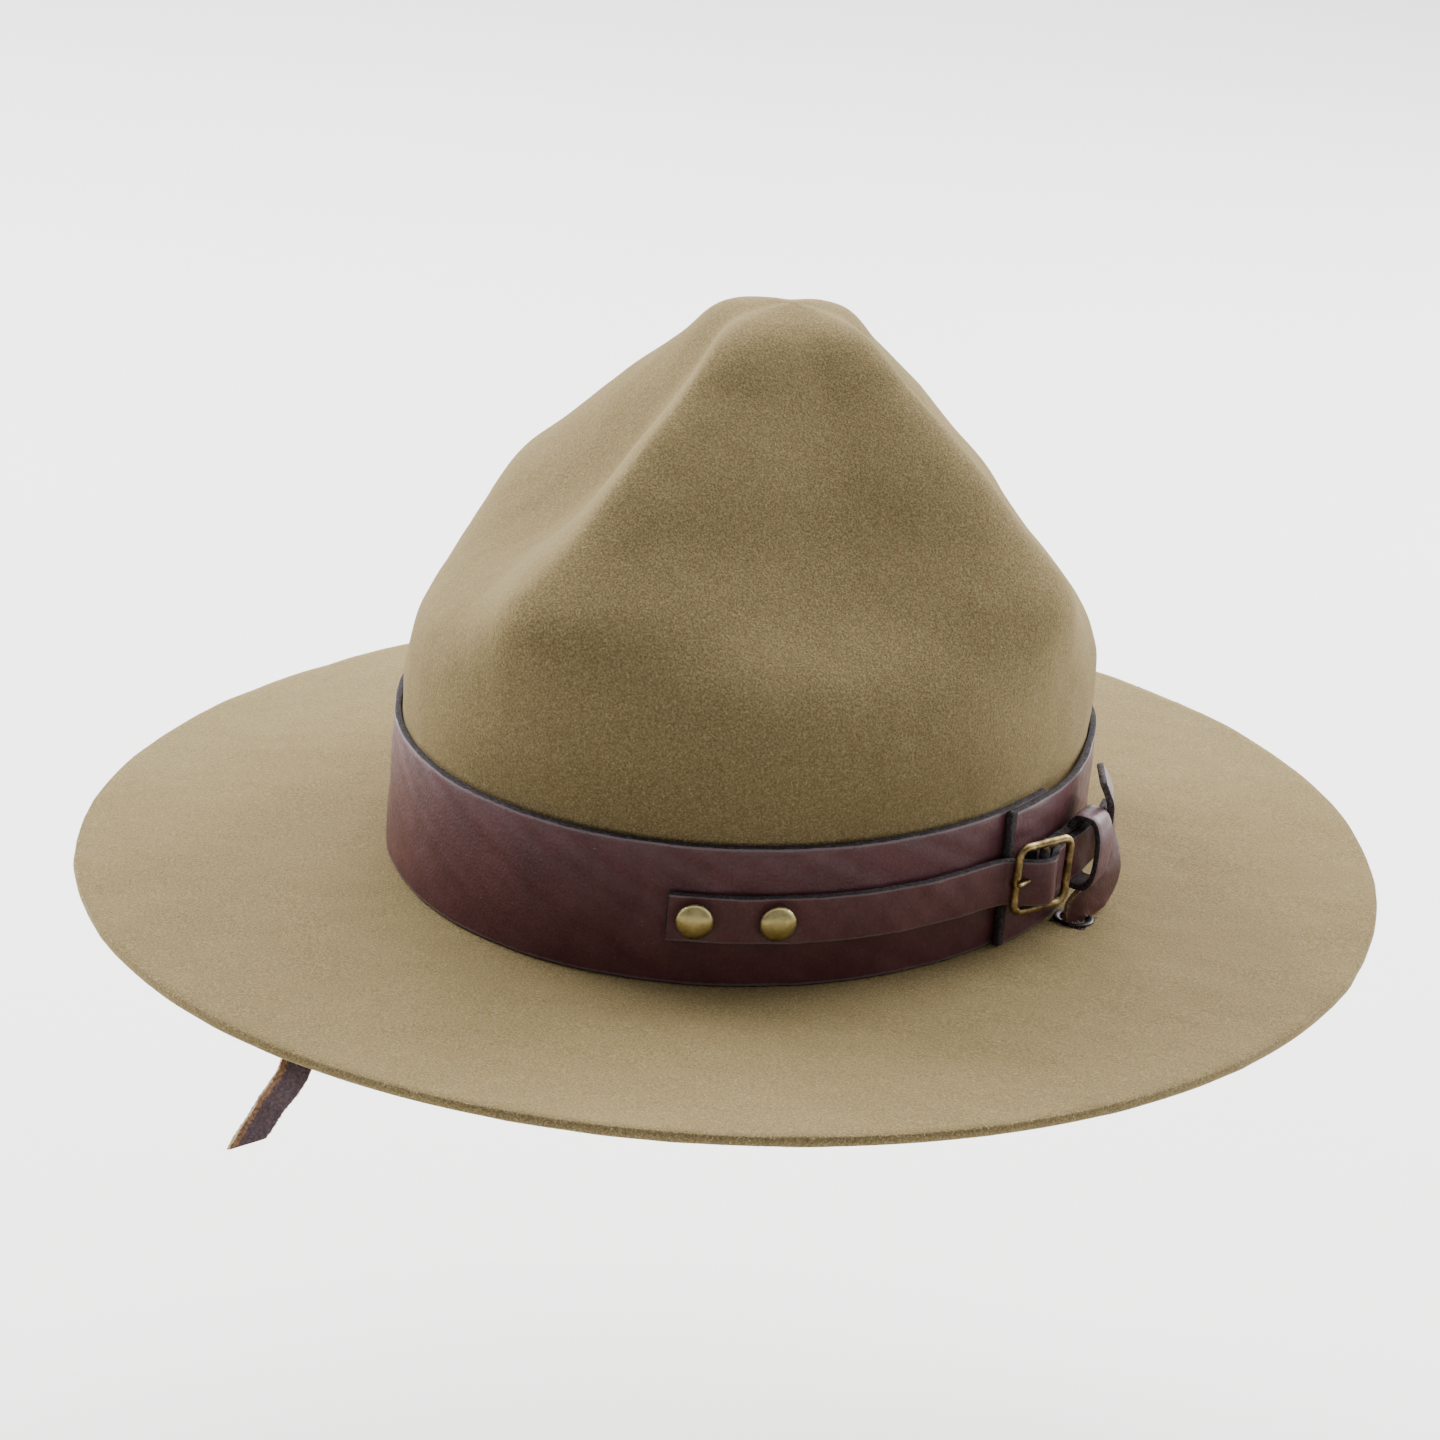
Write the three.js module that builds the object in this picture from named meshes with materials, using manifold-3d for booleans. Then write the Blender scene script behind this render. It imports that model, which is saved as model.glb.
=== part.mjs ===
// Campaign hat: a peaked felt crown with four dents on a wide flat brim, a broad leather band
// with a buckled narrow strap, and a leather head strap that passes an eyelet in the brim.
// Millimetres, +Z up. The front is -Y and the wearer's left is +X. The origin is the middle of
// the head opening at the brim's underside. Facing angles run from the front to the wearer's left.
import * as THREE from 'three';
import { mergeVertices } from 'three/addons/utils/BufferGeometryUtils.js';
import Module from 'manifold-3d';

// Driving dimensions
const felt = 2.6;                 // wall of the crown and brim
const crownLength = 202.2;        // felt crown's foot, front to back
const crownWidth = 173.4;         // felt crown's foot, side to side
const crownHeight = 150;          // from the brim's top to the peak
const brimWidth = 84.3;           // from the crown's foot to the rim
const leather = 2;                // wall of the broad band and the narrow strap
const bandHeight = 38.1;
const strapWidth = 12.8;          // narrow strap on the band
const strapHeight = 19.3;         // its middle, above the band's lower edge
const rivetDiameter = 9.5;
const rivetRise = 2.8;
const rivetEdge = 0.7;            // straight edge under the rivet's dome
const buckleLength = 19.8;        // outside size of the buckle along the strap
const buckleHeight = 20.4;
const wire = 2.2;                 // thickness of the buckle's bars
const barDiameter = 1.9;          // the buckle's middle bar
const buckleBend = 2.7;           // radius of the buckle's corners, at the wire's middle
const buckleLift = 7.6;           // middle of the buckle above the band's face
const buckleRise = 0.9;           // middle of the buckle above the strap's middle line
const prongDiameter = 1.5;
const tabHeight = 14.4;
const tabThickness = 2.6;         // folded leather behind the strap
const tabLength = 14;             // along the band, from under the buckle's middle bar
const loopGap = 3.9;              // along the band, from the tab's end to the loop
const loopLeather = 1.6;          // wall of the loop round the narrow strap
const loopWidth = 9;
const loopHeight = 21.6;
const loopReach = 10.8;           // how far the loop spans away from the band
const loopRise = 0.6;             // the loop's middle above the strap's middle line
const headStrapWidth = 10;
const headStrapThickness = 1.9;
const eyeletBore = 7.4;
const eyeletWall = 0.6;
const eyeletFlange = 1.2;         // how far the eyelet's lip spreads over the felt
const eyeletReach = 7.9;          // from the band's face to the middle of the eyelet
const clearance = 0.3;            // gap between pieces that touch

// Places round the hat, in degrees from the front
const seamFacing = 90.5;
const bandLap = 13;               // over which the band's ends overlap
const strapEndFacing = 30.5;
const rivetInset = 4.1;           // from the narrow strap's end to the first rivet
const rivetSpacing = 11.9;
const buckleFacing = 94.6;
const buckleTurn = -14;           // the buckle's far side is lifted off the band
const eyeletFacing = 107.5;

// Sections of the crown from the foot to the peak. Height and lean are shares of the crown's
// height, size is a share of the foot's radius, dent is how far the dents reach inward as a
// share of the section's radius, and soft makes the ridges rounder.
const crownSections = [
  { height: 0.00, size: 1.000, dent: 0.00, soft: 0.50, leanX: 0.000, leanY: 0.000 },
  { height: 0.12, size: 0.998, dent: 0.00, soft: 0.50, leanX: 0.000, leanY: 0.000 },
  { height: 0.25, size: 0.996, dent: 0.00, soft: 0.50, leanX: 0.000, leanY: 0.000 },
  { height: 0.34, size: 0.994, dent: 0.00, soft: 0.50, leanX: 0.009, leanY: -0.007 },
  { height: 0.43, size: 0.976, dent: 0.01, soft: 0.50, leanX: 0.015, leanY: -0.011 },
  { height: 0.51, size: 0.988, dent: 0.10, soft: 0.40, leanX: 0.014, leanY: -0.010 },
  { height: 0.59, size: 0.970, dent: 0.26, soft: 0.24, leanX: 0.015, leanY: -0.005 },
  { height: 0.68, size: 0.811, dent: 0.31, soft: 0.07, leanX: 0.016, leanY: 0.003 },
  { height: 0.78, size: 0.628, dent: 0.31, soft: 0.00, leanX: 0.009, leanY: 0.011 },
  { height: 0.88, size: 0.412, dent: 0.29, soft: 0.04, leanX: -0.006, leanY: 0.019 },
  { height: 0.96, size: 0.240, dent: 0.25, soft: 0.30, leanX: -0.020, leanY: 0.028 },
  { height: 1.00, size: 0.000, dent: 0.22, soft: 0.80, leanX: -0.022, leanY: 0.038 }
];

// The four ridges between the dents: where each one faces, how far it reaches as a share of
// the section's radius, and how round its crest is. The dent after it has a depth, as a share
// of the section's dent, and is deepest at a share of the way to the next ridge.
const ridges = [
  { facing: 2.1, reach: 0.985, crest: 0.06, nextDent: 1.00, deepest: 0.50 },
  { facing: 109.0, reach: 0.95, crest: 0.20, nextDent: 1.15, deepest: 0.50 },
  { facing: 187.4, reach: 0.98, crest: 0.12, nextDent: 1.00, deepest: 0.50 },
  { facing: 264.0, reach: 1.065, crest: 0.12, nextDent: 1.34, deepest: 0.60 }
];
const ridgeStart = 0.4;           // share of the crown's height where ridges begin to reach out
const ridgeFull = 0.7;

// The brim's slow waves, as shares of its width at the rim
const brimLift = -0.024;
const brimWaves = [
  { order: 1, rise: 0.065, facing: 74 },
  { order: 2, rise: 0.023, facing: 18 }
];

// The narrow strap near the buckle. Across is measured from the buckle's middle in half
// buckle lengths, and the strap lies flat on the band, over the buckle's middle bar or over
// the folded tab by these shares.
const strapNearBuckle = [
  { across: -2.20, overBar: 0.00, overTab: 0.00 },
  { across: -1.50, overBar: 0.02, overTab: 0.00 },
  { across: -1.02, overBar: 0.11, overTab: 0.00 },
  { across: -0.86, overBar: 0.18, overTab: 0.00 },
  { across: -0.68, overBar: 0.30, overTab: 0.00 },
  { across: -0.34, overBar: 0.72, overTab: 0.00 },
  { across: 0.00, overBar: 1.00, overTab: 0.00 },
  { across: 0.35, overBar: 0.60, overTab: 0.40 },
  { across: 0.73, overBar: 0.12, overTab: 0.90 },
  { across: 1.27, overBar: 0.00, overTab: 1.00 },
  { across: 2.20, overBar: 0.00, overTab: 1.00 },
  { across: 3.30, overBar: 0.00, overTab: 1.00 },
  { across: 4.20, overBar: 0.00, overTab: 0.95 }
];

// Route of the head strap from its tip above the brim, through the eyelet, round the back under
// the brim to its free end. Out is the distance from the band's face in head-strap widths,
// height is measured from the brim's underside in band heights, looks is where the strap's
// outer face turns, and width is a share of the strap's width.
const headStrapRoute = [
  { facing: 114.2, out: 0.78, height: 1.080, looks: 117, width: 1.00 },
  { facing: 115.3, out: 1.00, height: 0.900, looks: 116, width: 1.00 },
  { facing: 116.0, out: 0.98, height: 0.740, looks: 115, width: 1.00 },
  { facing: 116.2, out: 0.96, height: 0.590, looks: 110, width: 1.00 },
  { facing: 116.2, out: 1.10, height: 0.450, looks: 102, width: 0.98 },
  { facing: 115.8, out: 1.26, height: 0.318, looks: 90, width: 0.93 },
  { facing: 112.6, out: 1.16, height: 0.220, looks: 78, width: 0.88 },
  { facing: 108.4, out: 0.87, height: 0.180, looks: 88, width: 0.70 },
  { facing: 107.4, out: 0.78, height: 0.128, looks: 98, width: 0.48 },
  { facing: 107.5, out: 0.79, height: 0.060, looks: 104, width: 0.46 },
  { facing: 107.5, out: 0.79, height: -0.060, looks: 107, width: 0.52 },
  { facing: 110.0, out: 0.70, height: -0.140, looks: 109, width: 0.72 },
  { facing: 116.5, out: 0.52, height: -0.180, looks: 115, width: 0.92 },
  { facing: 130, out: 0.30, height: -0.180, looks: 128, width: 1.00 },
  { facing: 150, out: 0.16, height: -0.170, looks: 150, width: 1.00 },
  { facing: 180, out: 0.12, height: -0.165, looks: 180, width: 1.00 },
  { facing: 210, out: 0.12, height: -0.165, looks: 210, width: 1.00 },
  { facing: 240, out: 0.14, height: -0.165, looks: 240, width: 1.00 },
  { facing: 268, out: 0.16, height: -0.170, looks: 268, width: 1.00 },
  { facing: 298, out: 0.34, height: -0.210, looks: 302, width: 1.00 },
  { facing: 321, out: 0.95, height: -0.430, looks: 284, width: 1.00 },
  { facing: 338, out: 2.15, height: -0.740, looks: 252, width: 0.95 },
  { facing: 346.0, out: 3.20, height: -1.030, looks: 226, width: 0.82 },
  { facing: 345.6, out: 3.90, height: -1.350, looks: 230, width: 0.76 },
  { facing: 345.1, out: 4.48, height: -1.620, looks: 236, width: 0.74 }
];
const endCut = 1.00;              // slant of the free end, as a share of its width

// Fineness
const sides = 88;                 // a multiple of the number of ridges
const crownRings = 21;
const innerRings = 14;
const brimRings = 3;
const bandSteps = 88;
const strapSteps = 56;
const headStrapSteps = 88;
const roundSides = 16;

const bandFoot = felt + clearance;
const bandFace = clearance + leather;   // the band's outer face beyond the felt
const layered = leather + clearance;    // where a second layer of the band adds its face
const lapFade = [1.1, 3];               // the lap's extra lift ends between these shares of it

const colours = {
  felt: { color: 0x9a8a68, roughness: 0.95, metalness: 0 },
  leather: { color: 0x4e3331, roughness: 0.5, metalness: 0 },
  brass: { color: 0x9c8648, roughness: 0.35, metalness: 1 },
  darkMetal: { color: 0x1c1a1a, roughness: 0.3, metalness: 0.8 }
};

const wasm = await Module();
wasm.setup();

const hat = new THREE.Group();

const radians = THREE.MathUtils.degToRad;
const degrees = THREE.MathUtils.radToDeg;

// Radius of the crown's oval foot grown outward by a distance
function footRadius(facing, out = 0) {
  const length = crownLength / 2 + out;
  const width = crownWidth / 2 + out;
  return length * width / Math.hypot(width * Math.cos(facing), length * Math.sin(facing));
}

function pointAt(facing, radius, height) {
  return new THREE.Vector3(radius * Math.sin(facing), -radius * Math.cos(facing), height);
}

// A smooth value through the rows of a table, for a place from 0 at the first to 1 at the last
function along(table, column, share) {
  const last = table.length - 1;
  const place = THREE.MathUtils.clamp(share, 0, 1) * last;
  const row = Math.min(Math.floor(place), last - 1);
  const u = place - row;
  const before = table[Math.max(row - 1, 0)][column];
  const from = table[row][column];
  const to = table[row + 1][column];
  const after = table[Math.min(row + 2, last)][column];
  const slopeFrom = (to - before) / 2;
  const slopeTo = (after - from) / 2;
  const rise = to - from;
  return from + u * slopeFrom + u * u * (3 * rise - 2 * slopeFrom - slopeTo)
    + u * u * u * (slopeFrom + slopeTo - 2 * rise);
}

// A point of the crown's outer skin
function crownPoint(facing, share) {
  const height = along(crownSections, 'height', share);
  const turn = THREE.MathUtils.euclideanModulo(facing - radians(ridges[0].facing), 2 * Math.PI);
  const starts = ridges.map((ridge) => radians(ridge.facing - ridges[0].facing));
  const quarter = starts.filter((start) => start <= turn).length - 1;
  const next = (quarter + 1) % ridges.length;
  const end = next ? starts[next] : 2 * Math.PI;
  const place = (turn - starts[quarter]) / (end - starts[quarter]);
  const soft = Math.max(along(crownSections, 'soft', share), 0);
  const crest = THREE.MathUtils.lerp(ridges[quarter].crest, ridges[next].crest, place) + soft;
  const skew = Math.log(0.5) / Math.log(ridges[quarter].deepest);
  const fall = Math.sin(Math.PI * place ** skew);
  const hollow = (Math.hypot(fall, crest) - crest) / (Math.hypot(1, crest) - crest);
  const depth = along(crownSections, 'dent', share) * ridges[quarter].nextDent * hollow;
  const reach = THREE.MathUtils.lerp(ridges[quarter].reach, ridges[next].reach, place);
  const full = THREE.MathUtils.clamp((height - ridgeStart) / (ridgeFull - ridgeStart), 0, 1);
  const size = along(crownSections, 'size', share) * THREE.MathUtils.lerp(1, reach, full);
  const point = pointAt(facing, footRadius(facing) * size * (1 - depth), felt + height * crownHeight);
  point.x += along(crownSections, 'leanX', share) * crownHeight;
  point.y += along(crownSections, 'leanY', share) * crownHeight;
  return point;
}

// The same place on the crown's inner skin, one felt wall behind the outer one
function crownInner(facing, share) {
  const step = 0.02;
  const low = crownPoint(facing, Math.max(share - step, 0));
  const high = crownPoint(facing, Math.min(share + step, 1));
  const left = crownPoint(facing - step, share);
  const right = crownPoint(facing + step, share);
  const normal = right.sub(left).cross(high.sub(low)).normalize();
  return crownPoint(facing, share).addScaledVector(normal, -felt);
}

// Height of the brim's underside for a share of the brim's width
function brimRise(facing, share) {
  const turned = (wave) => wave.order * (facing - radians(wave.facing));
  const waves = brimWaves.map((wave) => wave.rise * Math.cos(turned(wave)));
  return brimWidth * (brimLift + waves.reduce((sum, value) => sum + value, 0)) * share * share;
}

// Joins rings of points into one closed body. A ring with one point closes that end, and open
// strips get flat ends.
function loft(rings, closed = false) {
  const count = Math.max(...rings.map((ring) => ring.length));
  const positions = rings.flatMap((ring) => ring.flatMap((point) => point.toArray()));
  const starts = [];
  rings.reduce((start, ring) => {
    starts.push(start);
    return start + ring.length;
  }, 0);
  const index = [];
  const at = (ring, side) => starts[ring] + (rings[ring].length > 1 ? side % count : 0);
  const pairs = closed ? rings.length : rings.length - 1;
  for (let ring = 0; ring < pairs; ring += 1) {
    const next = (ring + 1) % rings.length;
    for (let side = 0; side < count; side += 1) {
      if (rings[ring].length > 1) index.push(at(ring, side), at(ring, side + 1), at(next, side));
      if (rings[next].length > 1) index.push(at(ring, side + 1), at(next, side + 1), at(next, side));
    }
  }
  if (!closed) {
    for (let side = 1; side < count - 1; side += 1) {
      if (rings[0].length > 1) index.push(at(0, 0), at(0, side + 1), at(0, side));
      const last = rings.length - 1;
      if (rings[last].length > 1) index.push(at(last, 0), at(last, side), at(last, side + 1));
    }
  }
  const geometry = new THREE.BufferGeometry();
  geometry.setAttribute('position', new THREE.Float32BufferAttribute(positions, 3));
  geometry.setIndex(index);
  return faceOutward(geometry);
}

// Turns the triangles round if they face inward
function faceOutward(geometry) {
  const position = geometry.attributes.position;
  const index = geometry.index.array;
  const corner = [new THREE.Vector3(), new THREE.Vector3(), new THREE.Vector3()];
  let volume = 0;
  for (let i = 0; i < index.length; i += 3) {
    corner.forEach((point, k) => point.fromBufferAttribute(position, index[i + k]));
    volume += corner[0].dot(corner[1].clone().cross(corner[2]));
  }
  if (volume < 0) {
    for (let i = 0; i < index.length; i += 3) [index[i], index[i + 1]] = [index[i + 1], index[i]];
  }
  return geometry;
}

function toSolid(geometry) {
  const plain = geometry.clone();
  plain.deleteAttribute('normal');
  plain.deleteAttribute('uv');
  const merged = mergeVertices(plain, 1e-4);
  return new wasm.Manifold(new wasm.Mesh({
    numProp: 3,
    vertProperties: new Float32Array(merged.attributes.position.array),
    triVerts: new Uint32Array(merged.index.array)
  }));
}

function toGeometry(solid) {
  const mesh = solid.getMesh();
  const geometry = new THREE.BufferGeometry();
  geometry.setAttribute('position', new THREE.Float32BufferAttribute(mesh.vertProperties, 3));
  geometry.setIndex(Array.from(mesh.triVerts));
  return geometry;
}

function addPiece(name, geometry, finish, place) {
  const mesh = new THREE.Mesh(geometry, new THREE.MeshStandardMaterial(colours[finish]));
  mesh.name = name;
  if (place) mesh.applyMatrix4(place);
  hat.add(mesh);
  return mesh;
}

// Turn and place that seat a piece on the band: its x runs round the hat, y up, z outward
function seat(facing, out, height, turn = 0) {
  const angle = radians(facing);
  const behind = angle - 0.01;
  const middle = pointAt(angle, footRadius(angle, bandFace + out), height);
  const before = pointAt(behind, footRadius(behind, bandFace + out), height);
  const up = new THREE.Vector3(0, 0, 1);
  const round = middle.clone().sub(before).normalize().applyAxisAngle(up, radians(turn));
  const outward = round.clone().cross(up);
  return new THREE.Matrix4().makeBasis(round, up, outward).setPosition(middle);
}

// A flat strip along a list of stations. Each has a middle, the way its outer face looks, a
// width and a thickness. Slant cuts the last end at an angle.
function strip(stations, slant = 0) {
  const rings = stations.map((station, i) => {
    const before = stations[Math.max(i - 1, 0)].middle;
    const after = stations[Math.min(i + 1, stations.length - 1)].middle;
    const ahead = after.clone().sub(before).normalize();
    const across = station.looks.clone().cross(ahead).normalize();
    const outward = ahead.clone().cross(across).normalize();
    const corners = [[-1, -1], [1, -1], [1, 1], [-1, 1]];
    return corners.map(([side, face]) => {
      const point = station.middle.clone();
      point.addScaledVector(across, side * station.width / 2);
      point.addScaledVector(outward, face * station.thickness / 2);
      if (i === stations.length - 1) point.addScaledVector(ahead, side * slant * station.width / 2);
      return point;
    });
  });
  return loft(rings);
}

function horizontal(facing) {
  return new THREE.Vector3(Math.sin(facing), -Math.cos(facing), 0);
}

// Crown and brim in one felt, hollow, from the inner peak round the rim to the outer peak
function buildFelt() {
  const facings = ridges.flatMap((ridge, i) => {
    const start = radians(ridge.facing);
    const end = radians(i + 1 < ridges.length ? ridges[i + 1].facing : ridges[0].facing + 360);
    const columns = sides / ridges.length;
    const at = (column) => THREE.MathUtils.lerp(start, end, column / columns);
    return Array.from({ length: columns }, (_, column) => at(column));
  });
  const peak = crownPoint(0, 1);
  const rings = [[peak.clone().setZ(peak.z - felt)]];
  for (let ring = innerRings - 1; ring > 0; ring -= 1) {
    rings.push(facings.map((facing) => crownInner(facing, ring / innerRings)));
  }
  for (let ring = 0; ring <= brimRings; ring += 1) {
    rings.push(facings.map((facing) => brimPoint(facing, ring / brimRings, 0)));
  }
  for (let ring = brimRings; ring > 0; ring -= 1) {
    rings.push(facings.map((facing) => brimPoint(facing, ring / brimRings, felt)));
  }
  for (let ring = 0; ring < crownRings; ring += 1) {
    rings.push(facings.map((facing) => crownPoint(facing, ring / crownRings)));
  }
  rings.push([peak]);
  const hole = new THREE.CylinderGeometry(eyeletHole(), eyeletHole(), 4 * felt, roundSides);
  hole.rotateX(Math.PI / 2).translate(...eyeletMiddle().toArray());
  return toGeometry(toSolid(loft(rings)).subtract(toSolid(hole)));
}

function brimPoint(facing, share, above) {
  const inside = above > 0 ? 0 : -felt;
  const out = THREE.MathUtils.lerp(inside, brimWidth, share);
  return pointAt(facing, footRadius(facing, out), above + brimRise(facing, share));
}

function eyeletHole() {
  return eyeletBore / 2 + eyeletWall + clearance;
}

function eyeletMiddle() {
  const facing = radians(eyeletFacing);
  return pointAt(facing, footRadius(facing, bandFace + eyeletReach), felt / 2);
}

// A flanged ring through the felt
function buildEyelet() {
  const bore = eyeletBore / 2;
  const tube = bore + eyeletWall;
  const lip = tube + eyeletFlange;
  const top = felt / 2 + clearance;
  const rise = eyeletWall;
  const profile = [
    [bore, -top - rise], [lip, -top - rise / 2], [lip, -top], [tube, -top], [tube, top], [lip, top],
    [lip, top + rise / 2], [tube, top + rise], [bore, top + rise / 2], [bore, -top - rise]
  ];
  const geometry = new THREE.LatheGeometry(profile.map(([x, y]) => new THREE.Vector2(x, y)), roundSides);
  geometry.rotateX(Math.PI / 2).translate(...eyeletMiddle().toArray());
  return geometry;
}

// One long strip round the crown. It starts on top at the seam and ends under its own start.
function buildBand() {
  const slope = (crownSections[2].size - 1) * footRadius(0) / (crownSections[2].height * crownHeight);
  const turns = 360 + bandLap;
  const rings = [];
  for (let step = 0; step <= bandSteps; step += 1) {
    const travel = turns * step / bandSteps;
    const facing = radians(seamFacing + travel);
    const ease = THREE.MathUtils.smoothstep(travel, bandLap * lapFade[0], bandLap * lapFade[1]);
    const lift = clearance + (1 - ease) * (leather + clearance);
    const corner = (out, height) => {
      const radius = footRadius(facing, lift + out + slope * height);
      return pointAt(facing, radius, bandFoot + height);
    };
    rings.push([corner(0, 0), corner(leather, 0), corner(leather, bandHeight), corner(0, bandHeight)]);
  }
  return loft(rings);
}

// The narrow strap on the band, with a hole for the buckle's tongue
function buildBandStrap(prong) {
  const perDegree = footRadius(radians(buckleFacing), bandFace) * radians(1);
  const near = strapNearBuckle.map((row) => ({
    ...row,
    facing: buckleFacing + row.across * buckleLength / 2 / perDegree
  }));
  const flatRows = [0, 0.35, 0.7];      // shares of the flat stretch at which the route has rows
  const flat = (share) => ({
    facing: THREE.MathUtils.lerp(strapEndFacing, near[0].facing, share),
    overBar: 0,
    overTab: 0
  });
  const route = [...flatRows.map(flat), ...near];
  const barTop = buckleLift + wire / 2 + clearance;
  const tabTop = layered + clearance + tabThickness + clearance;
  const stations = [];
  for (let step = 0; step <= strapSteps; step += 1) {
    const share = step / strapSteps;
    const facing = radians(along(route, 'facing', share));
    const overBar = along(route, 'overBar', share);
    const overTab = along(route, 'overTab', share);
    const lift = clearance * (1 - overBar - overTab) + barTop * overBar + tabTop * overTab;
    const out = bandFace + lift + leather / 2;
    stations.push({
      middle: pointAt(facing, footRadius(facing, out), bandFoot + strapHeight),
      looks: horizontal(facing),
      width: strapWidth,
      thickness: leather
    });
  }
  return toGeometry(toSolid(strip(stations)).subtract(prong));
}

// A domed cap on a short straight edge
function buildRivet() {
  const radius = rivetDiameter / 2;
  const steps = 6;
  const profile = [new THREE.Vector2(0, 0), new THREE.Vector2(radius, 0)];
  for (let step = 0; step < steps; step += 1) {
    const angle = Math.PI / 2 * step / steps;
    const height = rivetEdge + (rivetRise - rivetEdge) * Math.sin(angle);
    profile.push(new THREE.Vector2(radius * Math.cos(angle), height));
  }
  profile.push(new THREE.Vector2(0, rivetRise));
  return new THREE.LatheGeometry(profile, roundSides).rotateX(Math.PI / 2);
}

// Rounded rectangular frame with a bar across its middle
function buildBuckle() {
  const halfLength = (buckleLength - wire) / 2;
  const halfHeight = (buckleHeight - wire) / 2;
  const bendSteps = 4;
  const wireSides = 10;
  const rings = [];
  const quarters = [[1, 1], [-1, 1], [-1, -1], [1, -1]];
  quarters.forEach(([right, up], quarter) => {
    for (let step = 0; step <= bendSteps; step += 1) {
      const angle = Math.PI / 2 * (quarter + step / bendSteps);
      const outward = new THREE.Vector3(Math.cos(angle), Math.sin(angle), 0);
      const middle = new THREE.Vector3(halfLength - buckleBend, halfHeight - buckleBend, 0);
      middle.multiply(new THREE.Vector3(right, up, 1));
      middle.addScaledVector(outward, buckleBend);
      rings.push(Array.from({ length: wireSides }, (_, side) => {
        const turn = 2 * Math.PI * side / wireSides;
        const point = middle.clone().addScaledVector(outward, Math.cos(turn) * wire / 2);
        point.z += Math.sin(turn) * wire / 2;
        return point;
      }));
    }
  });
  const bar = new THREE.CylinderGeometry(barDiameter / 2, barDiameter / 2, 2 * halfHeight, wireSides);
  return toGeometry(toSolid(loft(rings, true)).add(toSolid(bar)));
}

// The buckle's tongue from the middle bar to the top of the near bar, in the buckle's own
// place. Spare grows it all round, for the hole it needs in the strap.
function buildProng(spare = 0) {
  const pinSides = 10;
  const taper = 0.8;
  const far = (buckleLength + prongDiameter) / 2;
  const top = wire / 2 + clearance + prongDiameter / 2;
  const start = new THREE.Vector3(-(barDiameter + prongDiameter) / 2 - clearance, 0, 0);
  const end = new THREE.Vector3(-far, 0, top * far / (far - prongDiameter));
  const radius = prongDiameter / 2 + spare;
  const length = start.distanceTo(end) + 2 * spare;
  const pin = new THREE.CylinderGeometry(radius * taper, radius, length, pinSides);
  pin.rotateZ(Math.PI / 2).rotateY(Math.atan2(end.z - start.z, start.x - end.x));
  return pin.translate(...start.add(end).multiplyScalar(0.5).toArray());
}

// Folded leather between the band and the strap
function buildTab() {
  const stations = [];
  const steps = 10;
  const start = radians(buckleFacing);
  const out = bandFace + layered + clearance + tabThickness / 2;
  for (let step = 0; step <= steps; step += 1) {
    const facing = start + tabLength / footRadius(start, out) * step / steps;
    stations.push({
      middle: pointAt(facing, footRadius(facing, out), bandFoot + strapHeight),
      looks: horizontal(facing),
      width: tabHeight,
      thickness: tabThickness
    });
  }
  return strip(stations);
}

// A leather loop round the narrow strap, as a rounded ring that is as wide as the loop
function buildLoop() {
  const steps = 28;
  const squareness = 0.75;        // 1 is an oval, smaller is nearer to a rectangle
  const halfReach = loopReach / 2;
  const halfHeight = loopHeight / 2;
  const bent = (value) => Math.sign(value) * Math.abs(value) ** squareness;
  const rings = [];
  for (let step = 0; step < steps; step += 1) {
    const angle = 2 * Math.PI * step / steps;
    const ring = [[-1, 0], [1, 0], [1, 1], [-1, 1]].map(([side, inner]) => new THREE.Vector3(
      side * loopWidth / 2,
      bent(Math.sin(angle)) * (halfHeight - inner * loopLeather) + loopRise,
      bent(Math.cos(angle)) * (halfReach - inner * loopLeather) + halfReach
    ));
    rings.push(ring);
  }
  return loft(rings, true);
}

function buildHeadStrap() {
  const stations = [];
  for (let step = 0; step <= headStrapSteps; step += 1) {
    const share = step / headStrapSteps;
    const facing = radians(along(headStrapRoute, 'facing', share));
    const radius = footRadius(facing, bandFace + along(headStrapRoute, 'out', share) * headStrapWidth);
    stations.push({
      middle: pointAt(facing, radius, along(headStrapRoute, 'height', share) * bandHeight),
      looks: horizontal(radians(along(headStrapRoute, 'looks', share))),
      width: along(headStrapRoute, 'width', share) * headStrapWidth,
      thickness: headStrapThickness
    });
  }
  return strip(stations, endCut);
}

const strapMiddle = bandFoot + strapHeight;
const buckleSeat = seat(buckleFacing, buckleLift, strapMiddle + buckleRise, buckleTurn);
const prongSpace = toSolid(buildProng(clearance).applyMatrix4(buckleSeat));
const rivetNames = ['rivet_front', 'rivet_rear'];
const loopPlace = tabLength + loopGap + loopWidth / 2;
const loopFacing = buckleFacing + degrees(loopPlace / footRadius(radians(buckleFacing), bandFace));

addPiece('felt_body', buildFelt(), 'felt');
addPiece('hat_band', buildBand(), 'leather');
addPiece('band_strap', buildBandStrap(prongSpace), 'leather');
rivetNames.forEach((name, i) => {
  const facing = strapEndFacing + rivetInset + i * rivetSpacing;
  addPiece(name, buildRivet(), 'brass', seat(facing, layered + 2 * clearance, strapMiddle));
});
addPiece('buckle_frame', buildBuckle(), 'brass', buckleSeat);
addPiece('buckle_prong', buildProng(), 'brass', buckleSeat);
addPiece('buckle_tab', buildTab(), 'leather');
addPiece('strap_loop', buildLoop(), 'leather', seat(loopFacing, layered + clearance, strapMiddle));
addPiece('head_strap', buildHeadStrap(), 'leather');
addPiece('eyelet', buildEyelet(), 'darkMetal');

export default hat;
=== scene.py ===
import math

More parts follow.
